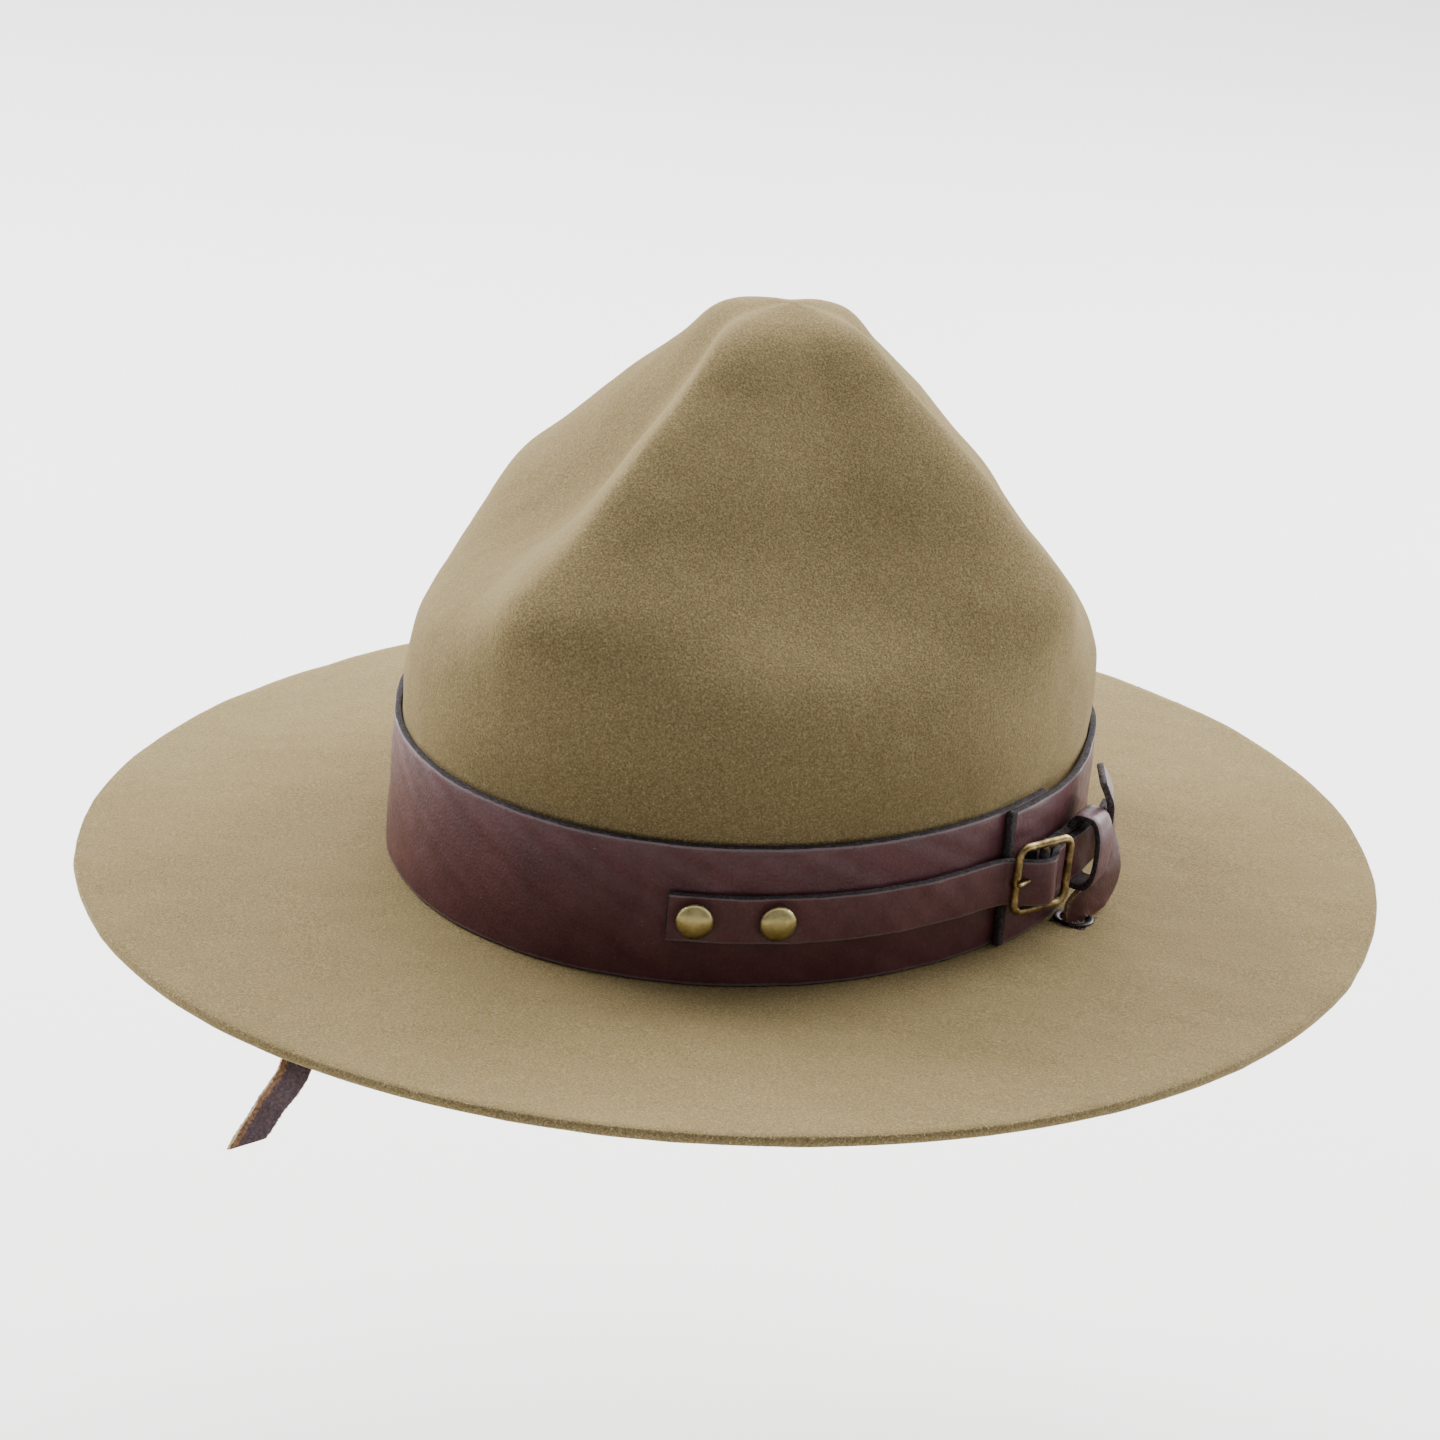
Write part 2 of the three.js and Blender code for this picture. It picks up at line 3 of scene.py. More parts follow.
import bpy
import numpy as np
from mathutils import Matrix, Vector, noise


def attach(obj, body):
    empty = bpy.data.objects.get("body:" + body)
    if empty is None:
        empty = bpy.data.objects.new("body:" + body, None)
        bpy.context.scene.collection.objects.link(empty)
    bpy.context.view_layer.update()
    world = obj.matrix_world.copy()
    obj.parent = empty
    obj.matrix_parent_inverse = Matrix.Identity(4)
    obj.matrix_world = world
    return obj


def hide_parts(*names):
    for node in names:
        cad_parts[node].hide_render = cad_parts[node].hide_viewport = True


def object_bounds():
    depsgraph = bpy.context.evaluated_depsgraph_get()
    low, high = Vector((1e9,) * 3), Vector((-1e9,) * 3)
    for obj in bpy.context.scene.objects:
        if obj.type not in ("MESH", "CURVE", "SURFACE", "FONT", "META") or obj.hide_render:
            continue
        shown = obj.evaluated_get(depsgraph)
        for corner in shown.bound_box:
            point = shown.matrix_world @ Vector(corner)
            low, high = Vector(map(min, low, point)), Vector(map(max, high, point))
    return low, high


# The campaign hat dressed for the camera. Lengths in the tables below are millimetres, or
# shares where a table says so, and meshes are made in metres. The front is -Y, the wearer's
# left is +X, and facing angles run from the front to the wearer's left.

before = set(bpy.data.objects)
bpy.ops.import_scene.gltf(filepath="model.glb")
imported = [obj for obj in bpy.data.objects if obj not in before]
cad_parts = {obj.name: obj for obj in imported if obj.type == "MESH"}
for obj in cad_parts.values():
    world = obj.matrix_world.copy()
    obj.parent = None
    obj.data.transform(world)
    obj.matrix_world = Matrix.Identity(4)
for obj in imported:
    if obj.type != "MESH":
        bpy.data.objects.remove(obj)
cad_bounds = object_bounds()

MM = 0.001
rng = np.random.default_rng(11)

# Sizes and facings that the solids share
FELT = 2.6
CROWN_LENGTH = 202.2
CROWN_WIDTH = 173.4
CROWN_HEIGHT = 150.0
BRIM_WIDTH = 84.3
LEATHER = 2.0
GAP = 0.3
BAND_HEIGHT = 38.1
BAND_LAP = 13.0
BAND_FOOT = FELT + GAP
BAND_FACE = LEATHER + GAP
STRAP_WIDTH = 12.8
STRAP_MIDDLE = BAND_FOOT + 19.3
STRAP_END = 30.5
RIVET_FACINGS = (34.6, 46.5)
RIVET_RADIUS = 4.75
RIVET_RISE = 2.8
BUCKLE_FACING = 94.6
BUCKLE_TURN = -14.0
BUCKLE_LIFT = 7.6
BUCKLE_RISE = 0.9
BUCKLE_LENGTH = 19.8
BUCKLE_HEIGHT = 20.4
BUCKLE_BEND = 2.7
WIRE = 2.2
BAR_RADIUS = 0.95
PRONG = 1.5
TAB_LENGTH = 14.0
TAB_HEIGHT = 14.4
TAB_THICKNESS = 2.6
LOOP_GAP = 3.9
LOOP_WIDTH = 9.0
LOOP_HEIGHT = 21.6
LOOP_REACH = 10.8
LOOP_LEATHER = 1.6
LOOP_RISE = 0.6
HEAD_STRAP_WIDTH = 10.0
HEAD_STRAP_THICKNESS = 1.9
EYELET_FACING = 107.5
EYELET_REACH = 7.9
EYELET_BORE = 7.4
EYELET_WALL = 0.6
EYELET_FLANGE = 1.2

# Sizes and facings of these finer meshes alone
SEAM_FACING = 89.4
PEAK_DROP = 1.0                                      # how much is rounded off the peak
PEAK_ROUND = 6.0                                     # and how far from it that reaches
RIM_ROUND = 0.6
UNEVENNESS = [(0.45, 34), (0.22, 9)]                 # of the felt: rise, then size
BAND_CORNER = 0.45
STRAP_CORNER = 0.4
HEAD_STRAP_CORNER = 0.35
LOOP_CORNER = 0.4
FOLD_LEATHER = 0.4                                   # round the buckle's middle bar

# How finely the meshes are divided
FELT_COLUMNS = 320
CROWN_ROWS = 138
INNER_ROWS = 56
BRIM_ROWS = 34
TOP_SHARE = 0.994                                    # where the rows stop short of peak and rim
INNER_TOP_SHARE = 0.955
ROWS_BESIDE_BAND = 6                                 # of the brim, where the felt stays low
ROWS_BEHIND_BAND = 42                                # of the crown
FIBRES = 195000                                      # in each of the two layers of loose fibres
BAND_STEPS = 520
STRAP_STEPS = 420
TAB_STEPS = 60
HEAD_STRAP_STEPS = 620
LOOP_STEPS = 90
ROUND_SIDES = 48
WIRE_SIDES = 20
WIRE_BEND_STEPS = 9                                  # at each corner of the buckle
WIRE_STRAIGHT_STEPS = 10
BAR_RINGS = 12
PRONG_SIDES = 16

# Faces of a leather strip, in the order of its materials
GRAIN, EDGE, FLESH = range(3)

# Crown sections: height, size, dent, softness of the ridges, lean to the left, lean to the
# back, as shares
CROWN = [
    (0.00, 1.000, 0.00, 0.50, 0.000, 0.000),
    (0.12, 0.998, 0.00, 0.50, 0.000, 0.000),
    (0.25, 0.996, 0.00, 0.50, 0.000, 0.000),
    (0.34, 0.994, 0.00, 0.50, 0.009, -0.007),
    (0.43, 0.976, 0.01, 0.50, 0.015, -0.011),
    (0.51, 0.988, 0.10, 0.40, 0.014, -0.010),
    (0.59, 0.970, 0.26, 0.24, 0.015, -0.005),
    (0.68, 0.811, 0.31, 0.07, 0.016, 0.003),
    (0.78, 0.628, 0.31, 0.00, 0.009, 0.011),
    (0.88, 0.412, 0.29, 0.04, -0.006, 0.019),
    (0.96, 0.240, 0.25, 0.30, -0.020, 0.028),
    (1.00, 0.000, 0.22, 0.80, -0.022, 0.038),
]
# Ridges: facing, reach, rounding of its crest, depth of the dent after it, and where between
# this ridge and the next one that dent is deepest
RIDGES = [
    (2.1, 0.985, 0.06, 1.00, 0.50),
    (109.0, 0.950, 0.20, 1.15, 0.50),
    (187.4, 0.980, 0.12, 1.00, 0.50),
    (264.0, 1.065, 0.12, 1.34, 0.60),
]
RIDGE_START = 0.4
RIDGE_FULL = 0.7
BRIM_LIFT = -0.024
BRIM_WAVES = [(1, 0.065, 74), (2, 0.023, 18)]        # order, rise, facing

# The narrow strap near the buckle: across in half buckle lengths, then the shares of its lift
# that are over the buckle's middle bar and over the folded tab
STRAP_NEAR_BUCKLE = [
    (-2.20, 0.00, 0.00),
    (-1.50, 0.02, 0.00),
    (-1.02, 0.11, 0.00),
    (-0.86, 0.20, 0.00),
    (-0.68, 0.37, 0.00),
    (-0.34, 0.79, 0.00),
    (0.00, 1.00, 0.00),
    (0.35, 0.60, 0.40),
    (0.73, 0.12, 0.90),
    (1.27, 0.00, 1.00),
    (2.20, 0.00, 1.00),
    (3.30, 0.00, 1.00),
    (4.20, 0.00, 0.95),
]
# The head strap: facing, distance out in strap widths, height in band heights, where the
# grain side looks, width as a share
HEAD_STRAP = [
    (113.6, 0.68, 1.080, 134, 1.00),
    (115.0, 0.92, 0.900, 132, 1.00),
    (116.0, 0.95, 0.740, 124, 1.00),
    (116.2, 0.96, 0.590, 114, 1.00),
    (116.0, 1.08, 0.450, 102, 0.98),
    (115.0, 1.16, 0.320, 88, 1.00),
    (112.0, 1.08, 0.225, 72, 1.00),
    (109.0, 0.90, 0.175, 66, 0.92),
    (107.9, 0.81, 0.128, 66, 0.74),
    (107.5, 0.79, 0.060, 72, 0.56),
    (107.5, 0.79, -0.060, 96, 0.52),
    (110.0, 0.70, -0.140, 109, 0.72),
    (116.5, 0.52, -0.180, 115, 0.92),
    (130, 0.30, -0.180, 128, 1.00),
    (150, 0.16, -0.170, 150, 1.00),
    (180, 0.12, -0.165, 180, 1.00),
    (210, 0.12, -0.165, 210, 1.00),
    (240, 0.14, -0.165, 240, 1.00),
    (268, 0.16, -0.170, 268, 1.00),
    (298, 0.34, -0.210, 302, 1.00),
    (321, 0.95, -0.430, 284, 1.00),
    (338, 2.15, -0.740, 252, 0.95),
    (346.0, 3.20, -1.030, 226, 0.82),
    (345.6, 3.90, -1.350, 230, 0.76),
    (345.1, 4.48, -1.620, 236, 0.74),
]
END_CUT = 1.0                                        # slant of the free end
SLANT_START = 2.2                                    # strap widths before the slanted end

# The camera: degrees, then millimetres
CAMERA_SIDE = 40.0
CAMERA_RISE = 22.7
CAMERA_ROLL = -5.4
CAMERA_DISTANCE = 992.0
CAMERA_RIGHT = -7.9
CAMERA_UP = 31.8
LENS = 90.0
SENSOR = 36.0

FLOOR_DROP = 160.0                                   # below the strap's lowest point
FLOOR_RADIUS = 9000.0
FLOOR_SIDES = 64

# The light of the sky before and behind the hat, and the sky that shows
FRONT_SKY = 0.38
BACK_SKY = 5.0
SEEN_SKY = 1.6
SKY_START = -0.35                                    # where it starts to brighten, behind is 1
SKY_TILT = 0.02

# Lamps: name, then metres behind, to the right of and above the hat as the camera sees it, the
# size in metres, and watts
LAMPS = [
    ("key", 0.9, -1.5, 1.3, 1.3, 75),
    ("rim", 1.2, 1.5, 1.0, 1.2, 60),
    ("overhead", 1.1, 0.0, 2.2, 1.8, 45),
    ("fill", -1.9, 0.2, 0.9, 1.8, 1.5),
]
LAMP_AIM = Vector((0, 0, 0.05))


def srgb(red, green, blue):
    """A shader colour from screen values of 0 to 255."""
    channels = [value / 255 for value in (red, green, blue)]
    linear = [c / 12.92 if c < 0.04045 else ((c + 0.055) / 1.055) ** 2.4 for c in channels]
    return (*linear, 1.0)


def along(table, share):
    """Smooth values of all columns of a table, for places from 0, its first row, to 1."""
    rows = np.asarray(table, float)
    last = len(rows) - 1
    place = np.clip(np.atleast_1d(share), 0, 1) * last
    row = np.minimum(place.astype(int), last - 1)
    u = (place - row)[:, None]
    before, start = rows[np.maximum(row - 1, 0)], rows[row]
    end, after = rows[row + 1], rows[np.minimum(row + 2, last)]
    leaving, arriving, rise = (end - before) / 2, (after - start) / 2, end - start
    bend = 3 * rise - 2 * leaving - arriving
    return start + u * leaving + u * u * bend + u ** 3 * (leaving + arriving - 2 * rise)


def smoothstep(value, low, high):
    share = np.clip((value - low) / (high - low), 0, 1)
    return share * share * (3 - 2 * share)


def foot_radius(facing, out=0.0):
    """Radius of the crown's oval foot, or of the oval that lies further out all round."""
    length = CROWN_LENGTH / 2 + out
    width = CROWN_WIDTH / 2 + out
    return length * width / np.hypot(width * np.cos(facing), length * np.sin(facing))


def point_at(facing, radius, height):
    facing, radius, height = np.broadcast_arrays(facing, radius, height)
    return np.stack([radius * np.sin(facing), -radius * np.cos(facing), height], axis=-1)


def unit(vectors):
    return vectors / np.maximum(np.linalg.norm(vectors, axis=-1, keepdims=True), 1e-12)


def ripple(place, wavelength, seed):
    """A smooth wandering value of about -1 to 1 along a line."""
    waves = np.random.default_rng(seed)
    latest_start = 6.28
    usual_crest = 2.2
    total = np.zeros_like(np.asarray(place, float))
    for stretch in (0.6, 1.0, 1.7, 2.9):
        start = waves.uniform(0, latest_start)
        total = total + np.sin(2 * np.pi * place / (wavelength * stretch) + start)
    return total / usual_crest


def lengths_along(points):
    """How far along a line each of its points lies."""
    return np.concatenate([[0], np.cumsum(np.linalg.norm(np.diff(points, axis=0), axis=1))])


def make_mesh(name, points, faces, materials, kinds=None, across=None, smooth=True):
    """A mesh object from points in millimetres. Kinds gives each face's material, and across
    each corner's place over a strip's width, for the materials."""
    mesh = bpy.data.meshes.new(name)
    mesh.from_pydata((np.asarray(points) * MM).tolist(), [], faces)
    for material in materials:
        mesh.materials.append(material)
    if kinds is not None:
        mesh.polygons.foreach_set("material_index", kinds)
    mesh.polygons.foreach_set("use_smooth", [smooth] * len(mesh.polygons))
    if across is not None:
        layer = mesh.attributes.new("across", "FLOAT", "POINT")
        layer.data.foreach_set("value", across)
    mesh.update()
    piece = bpy.data.objects.new(name, mesh)
    bpy.context.scene.collection.objects.link(piece)
    return piece


def fit(piece, slot, *nodes):
    """Rides the piece on the hat, in place of its CAD nodes."""
    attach(piece, "root")
    if nodes:
        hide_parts(*nodes)
    return piece


def grid_faces(rows, columns, first=0):
    """Quads of a grid that closes round its columns."""
    ring = np.arange(columns)
    low = first + np.arange(rows - 1)[:, None] * columns
    corners = [low + ring, low + (ring + 1) % columns]
    quads = np.stack([corners[0], corners[1], corners[1] + columns, corners[0] + columns], axis=-1)
    return quads.reshape(-1, 4).tolist()


def joining_faces(rows, columns):
    """Quads that join a grid's last row to its first."""
    last = (rows - 1) * columns
    return [(last + s, last + (s + 1) % columns, (s + 1) % columns, s) for s in range(columns)]


def end_faces(rows, columns):
    """The faces that close a grid at its first row and its last."""
    last = (rows - 1) * columns
    return [list(range(columns - 1, -1, -1)), list(range(last, last + columns))]


class Surface:
    """Builds the nodes of one procedural material."""

    def __init__(self, name, **values):
        self.material = bpy.data.materials.new(name)
        self.material.use_nodes = True
        self.tree = self.material.node_tree
        self.shader = self.tree.nodes["Principled BSDF"]
        for socket, value in values.items():
            self.shader.inputs[socket.replace("_", " ")].default_value = value
        self.place = self.node("TexCoord").outputs["Object"]

    def node(self, kind, inputs=None, **settings):
        made = self.tree.nodes.new("ShaderNode" + kind)
        for setting, value in settings.items():
            setattr(made, setting, value)
        for socket, value in (inputs or {}).items():
            if isinstance(value, bpy.types.NodeSocket):
                self.tree.links.new(value, made.inputs[socket])
            else:
                made.inputs[socket].default_value = value
        return made

    def noise(self, size, detail=3.0, roughness=0.55):
        """Noise with features of about the given size in millimetres."""
        inputs = {"Vector": self.place, "Scale": 1 / (size * MM), "Detail": detail}
        return self.node("TexNoise", {**inputs, "Roughness": roughness}).outputs["Fac"]

    def cells(self, size):
        """Distance from the middles of small cells."""
        inputs = {"Vector": self.place, "Scale": 1 / (size * MM)}
        return self.node("TexVoronoi", inputs).outputs["Distance"]

    def ramp(self, value, *stops):
        """Colours or grey values at rising places of the value."""
        made = self.node("ValToRGB", {"Fac": value})
        marks = made.color_ramp.elements
        while len(marks) < len(stops):
            marks.new(0.5)
        for mark, (place, colour) in zip(marks, stops):
            mark.position = place
            mark.color = colour if isinstance(colour, tuple) else (colour, colour, colour, 1)
        return made.outputs["Color"]

    def mix(self, share, first, second, blend="MIX"):
        inputs = {"Fac": share, "Color1": first, "Color2": second}
        return self.node("MixRGB", inputs, blend_type=blend).outputs["Color"]

    def maths(self, operation, first, second=0.0):
        return self.node("Math", {0: first, 1: second}, operation=operation).outputs[0]

    def value(self, name):
        return self.node("Attribute", attribute_name=name).outputs["Fac"]

    def bump(self, height, depth, under=None):
        """Adds relief of about the given depth in millimetres to what is under it."""
        inputs = {"Height": height, "Distance": depth * MM, "Strength": 1.0}
        if under:
            inputs["Normal"] = under
        return self.node("Bump", inputs).outputs["Normal"]

    def link(self, **sockets):
        for socket, output in sockets.items():
            self.tree.links.new(output, self.shader.inputs[socket.replace("_", " ")])
        return self.material


def felt_material():
    surface = Surface("felt", Roughness=0.95, Specular_IOR_Level=0.15, Sheen_Weight=0.3,
                      Sheen_Roughness=0.45, Sheen_Tint=srgb(226, 200, 138))
    broad = surface.ramp(surface.noise(38, 3), (0.35, srgb(97, 84, 55)), (0.65, srgb(108, 94, 64)))
    flecks = surface.ramp(surface.noise(0.55, 4, 0.8), (0.34, srgb(52, 44, 28)),
                          (0.5, srgb(99, 86, 57)), (0.66, srgb(150, 133, 97)))
    reddish = surface.ramp(surface.noise(2.6, 3, 0.7), (0.56, 0.0), (0.74, 1.0))
    base = surface.mix(0.62, broad, flecks)
    base = surface.mix(surface.maths("MULTIPLY", reddish, 0.26), base, srgb(112, 76, 48))
    nap = surface.bump(surface.noise(0.45, 3, 0.75), 0.16)
    pile = surface.bump(surface.noise(1.7, 4, 0.7), 0.22, nap)
    return surface.link(Base_Color=base, Normal=surface.bump(surface.noise(14, 2), 0.35, pile))


def fibre_material():
    surface = Surface("felt_fibre", Roughness=0.9, Specular_IOR_Level=0.1, Sheen_Weight=0.4)
    grain = surface.noise(1.1, 2, 0.8)
    shades = surface.ramp(grain, (0.38, srgb(52, 43, 27)), (0.62, srgb(176, 159, 122)))
    return surface.link(Base_Color=shades)


def grain_material(name, dark, light, edge, line=0.05, roughness=0.42):
    """The smooth side of the leather, with pores, faint creases and a pale line along its edges:
    burnishing, with the highlight that the rounded edge catches painted in. The line's width is
    a share of half the strip's width."""
    surface = Surface(name, Specular_IOR_Level=0.24, Coat_Weight=0.06, Coat_Roughness=0.25)
    base = surface.ramp(surface.noise(11, 5, 0.6), (0.34, dark), (0.66, light))
    specks = surface.ramp(surface.noise(0.7, 3, 0.7), (0.33, 0.72), (0.6, 1.06))
    base = surface.mix(0.7, base, surface.mix(1.0, base, specks, "MULTIPLY"))
    # The pale edge line: burnishing, with the highlight of the rounded edge painted in as paler colour
    uneven = surface.maths("SUBTRACT", surface.noise(1.6, 4, 0.8), 0.5)
    wander = surface.maths("MULTIPLY", uneven, 2.4 * line)
    across = surface.maths("ADD", surface.maths("ABSOLUTE", surface.value("across")), wander)
    burnish_and_highlight = surface.ramp(across, (1 - 1.3 * line, 0.0), (1 - 0.6 * line, 1.0))
    base = surface.mix(surface.maths("MULTIPLY", burnish_and_highlight, 0.75), base, edge)
    dust = surface.ramp(surface.noise(0.55, 2, 0.5), (0.735, 0.0), (0.755, 1.0))
    base = surface.mix(surface.maths("MULTIPLY", dust, 0.35), base, srgb(150, 140, 136))
    handled = surface.noise(3.2, 4, 0.7)
    gloss = surface.ramp(handled, (0.3, roughness - 0.1), (0.7, roughness + 0.12))
    pores = surface.bump(surface.cells(0.85), 0.045)
    creases = surface.bump(surface.noise(5.5, 5, 0.65), 0.14, pores)
    return surface.link(Base_Color=base, Roughness=gloss, Normal=creases)


def raw_material(name, dark, light, depth=0.25):
    """A cut edge or the flesh side of the leather."""
    surface = Surface(name, Specular_IOR_Level=0.25)
    base = surface.ramp(surface.noise(0.9, 4, 0.75), (0.36, dark), (0.66, light))
    dull = surface.ramp(surface.noise(0.6, 3, 0.7), (0.3, 0.7), (0.7, 0.98))
    rough = surface.bump(surface.noise(0.7, 4, 0.8), depth)
    return surface.link(Base_Color=base, Roughness=dull, Normal=rough)


def head_edge_material():
    """The head strap's cut edge, pale tan low down and grey near its tip."""
    surface = Surface("leather_head_edge", Specular_IOR_Level=0.2)
    grain = surface.noise(0.8, 4, 0.75)
    tan = surface.ramp(grain, (0.36, srgb(128, 98, 70)), (0.64, srgb(190, 164, 130)))
    grey = surface.ramp(grain, (0.36, srgb(34, 28, 30)), (0.64, srgb(88, 78, 80)))
    height = surface.node("SeparateXYZ", {"Vector": surface.place}).outputs["Z"]
    tip = surface.ramp(surface.maths("DIVIDE", height, BAND_HEIGHT * MM), (0.55, 0.0), (0.75, 1.0))
    base = surface.mix(tip, tan, grey)
    return surface.link(Base_Color=base, Normal=surface.bump(surface.noise(0.6, 4, 0.8), 0.25))


def brass_material(name, tarnish, dark, middle, light):
    """Antique brass, dark where it is tarnished and bright where it is rubbed."""
    surface = Surface(name, Metallic=1.0)
    spots = surface.noise(4.2, 4, 0.6)
    base = surface.ramp(spots, (0.32, dark), (0.48, middle), (0.68, light))
    dirt = surface.ramp(surface.noise(1.6, 4, 0.7), (0.42, 1.0), (0.60, 0.0))
    base = surface.mix(surface.maths("MULTIPLY", dirt, tarnish), base, srgb(44, 34, 24))
    gloss = surface.ramp(surface.noise(1.3, 4, 0.7), (0.3, 0.26), (0.7, 0.46))
    scuffs = surface.bump(surface.noise(0.8, 4, 0.7), 0.03)
    return surface.link(Base_Color=base, Roughness=gloss, Normal=scuffs)


def head_flesh_material():
    """The head strap's flesh side, brown where its fibres are rubbed up along an edge."""
    surface = Surface("leather_head_flesh", Specular_IOR_Level=0.2)
    grain = surface.noise(0.8, 4, 0.75)
    dull = surface.ramp(grain, (0.36, srgb(42, 30, 34)), (0.66, srgb(86, 66, 70)))
    rust = surface.ramp(grain, (0.36, srgb(70, 46, 32)), (0.66, srgb(144, 108, 74)))
    wander = surface.maths("MULTIPLY", surface.noise(2.2, 4, 0.8), 1.1)
    side = surface.maths("ADD", surface.value("across"), wander)
    rubbed = surface.ramp(surface.maths("MULTIPLY", side, 0.5), (0.56, 0.0), (0.66, 1.0))
    base = surface.mix(rubbed, dull, rust)
    return surface.link(Base_Color=base, Normal=surface.bump(surface.noise(0.6, 4, 0.8), 0.35))


def dark_metal_material():
    surface = Surface("dark_metal", Metallic=1.0)
    base = surface.ramp(surface.noise(1.2, 4, 0.7), (0.35, srgb(26, 22, 22)), (0.7, srgb(56, 50, 48)))
    gloss = surface.ramp(surface.noise(0.9, 3, 0.7), (0.3, 0.3), (0.7, 0.5))
    return surface.link(Base_Color=base, Roughness=gloss)


def crown_points(facings, shares):
    """Outer skin of the crown, a row of points for each share of the way to the peak."""
    columns = along(CROWN, shares).T
    height, size, dent, soft, lean_x, lean_y = (column[:, None] for column in columns)
    starts = np.radians([ridge[0] - RIDGES[0][0] for ridge in RIDGES] + [360])
    reach = np.array([ridge[1] for ridge in RIDGES] + [RIDGES[0][1]])
    crest = np.array([ridge[2] for ridge in RIDGES] + [RIDGES[0][2]])
    deep = np.array([ridge[3] for ridge in RIDGES])
    skew = np.log(0.5) / np.log([ridge[4] for ridge in RIDGES])
    turn = np.mod(facings - math.radians(RIDGES[0][0]), 2 * np.pi)
    quarter = np.clip(np.searchsorted(starts, turn, side="right") - 1, 0, len(RIDGES) - 1)
    place = (turn - starts[quarter]) / (starts[quarter + 1] - starts[quarter])
    rounding = crest[quarter] * (1 - place) + crest[quarter + 1] * place + np.maximum(soft, 0)
    fall = np.sin(np.pi * place ** skew[quarter])
    hollow = (np.hypot(fall, rounding) - rounding) / (np.hypot(1, rounding) - rounding)
    full = np.clip((height - RIDGE_START) / (RIDGE_FULL - RIDGE_START), 0, 1)
    outward = reach[quarter] * (1 - place) + reach[quarter + 1] * place
    ridged = foot_radius(facings) * size * (1 + (outward - 1) * full)
    radius = ridged * (1 - dent * deep[quarter] * hollow)
    points = point_at(facings[None, :], radius, FELT + height * CROWN_HEIGHT)
    points[..., 0] += lean_x * CROWN_HEIGHT
    points[..., 1] += lean_y * CROWN_HEIGHT
    return points


def brim_rise(facings, share):
    waves = 0
    for order, rise, facing in BRIM_WAVES:
        waves = waves + rise * np.cos(order * (facings - math.radians(facing)))
    return BRIM_WIDTH * (BRIM_LIFT + waves) * share * share


def brim_points(facings, shares, above, start):
    """Rows of the brim's top or underside, from the given distance out of the crown's foot."""
    shares = np.asarray(shares)[:, None]
    out = start + (BRIM_WIDTH - start) * shares
    return point_at(facings[None, :], foot_radius(facings, out), above + brim_rise(facings, shares))


def grid_normals(points):
    """Normals of a grid whose columns run round the hat and whose rows run up or inward."""
    round_hat = np.roll(points, -1, axis=1) - np.roll(points, 1, axis=1)
    upward = np.gradient(points, axis=0)
    return unit(np.cross(round_hat, upward))


def rim_points(facings):
    """The brim's rounded rim, from its underside to its top."""
    middle = FELT / 2 + brim_rise(facings, 1.0)
    rows = []
    for turn in np.radians([-60, -30, 0, 30, 60]):
        out = BRIM_WIDTH - RIM_ROUND + RIM_ROUND * math.cos(turn)
        rows.append(point_at(facings, foot_radius(facings, out), middle + FELT / 2 * math.sin(turn)))
    return np.stack(rows)


def felt_relief(rows, top_row, foot_row):
    """How uneven the felt's outer side is, and never proud where the band lies on it."""
    relief = np.zeros(rows.shape[:2])
    for row in range(len(rows)):
        for column in range(FELT_COLUMNS):
            spot = Vector(rows[row, column])
            relief[row, column] = sum(rise * noise.noise(spot / size) for rise, size in UNEVENNESS)
    number = np.arange(len(rows))
    by_band = (number > foot_row - ROWS_BESIDE_BAND) & (number < foot_row + ROWS_BEHIND_BAND)
    relief[by_band] = np.minimum(relief[by_band], 0)
    return relief * (number >= top_row)[:, None]


def build_felt(material):
    """The crown and brim as one hollow skin. Gives the object, and the points of its outer side."""
    facings = np.radians(RIDGES[0][0] + np.arange(FELT_COLUMNS) * 360 / FELT_COLUMNS)
    outer = crown_points(facings, np.linspace(0, TOP_SHARE, CROWN_ROWS))
    inner = crown_points(facings, np.linspace(0, INNER_TOP_SHARE, INNER_ROWS))
    inner = inner - FELT * grid_normals(inner)
    lean = (CROWN[-1][4] * CROWN_HEIGHT, CROWN[-1][5] * CROWN_HEIGHT)
    from_peak = np.linalg.norm(outer[..., :2] - lean, axis=-1)
    outer[..., 2] -= PEAK_DROP * np.exp(-from_peak / PEAK_ROUND)
    peak = np.array([*lean, FELT + CROWN_HEIGHT - PEAK_DROP])
    top = brim_points(facings, np.linspace(TOP_SHARE, 0, BRIM_ROWS), FELT, 0)
    under = brim_points(facings, np.linspace(0, TOP_SHARE, BRIM_ROWS), 0.0, -FELT)
    rows = np.concatenate([inner[::-1][:-1], under, rim_points(facings), top, outer[1:]])
    top_row = len(inner) - 1 + len(under)
    relief = felt_relief(rows, top_row, len(rows) - len(outer))
    rows = rows + relief[..., None] * -grid_normals(rows)
    points = np.concatenate([rows.reshape(-1, 3), [peak - (0, 0, FELT)], [peak]])
    faces = grid_faces(len(rows), FELT_COLUMNS)
    inside = len(points) - 2
    outside = len(points) - 1
    last = (len(rows) - 1) * FELT_COLUMNS
    for column in range(FELT_COLUMNS):
        after = (column + 1) % FELT_COLUMNS
        faces.append((inside, after, column))
        faces.append((last + column, last + after, outside))
    faces = punch_eyelet(points, faces)
    return make_mesh("hat_felt", points, faces, [material]), rows[top_row:]


def eyelet_middle():
    facing = math.radians(EYELET_FACING)
    return point_at(facing, foot_radius(facing, BAND_FACE + EYELET_REACH), FELT / 2)


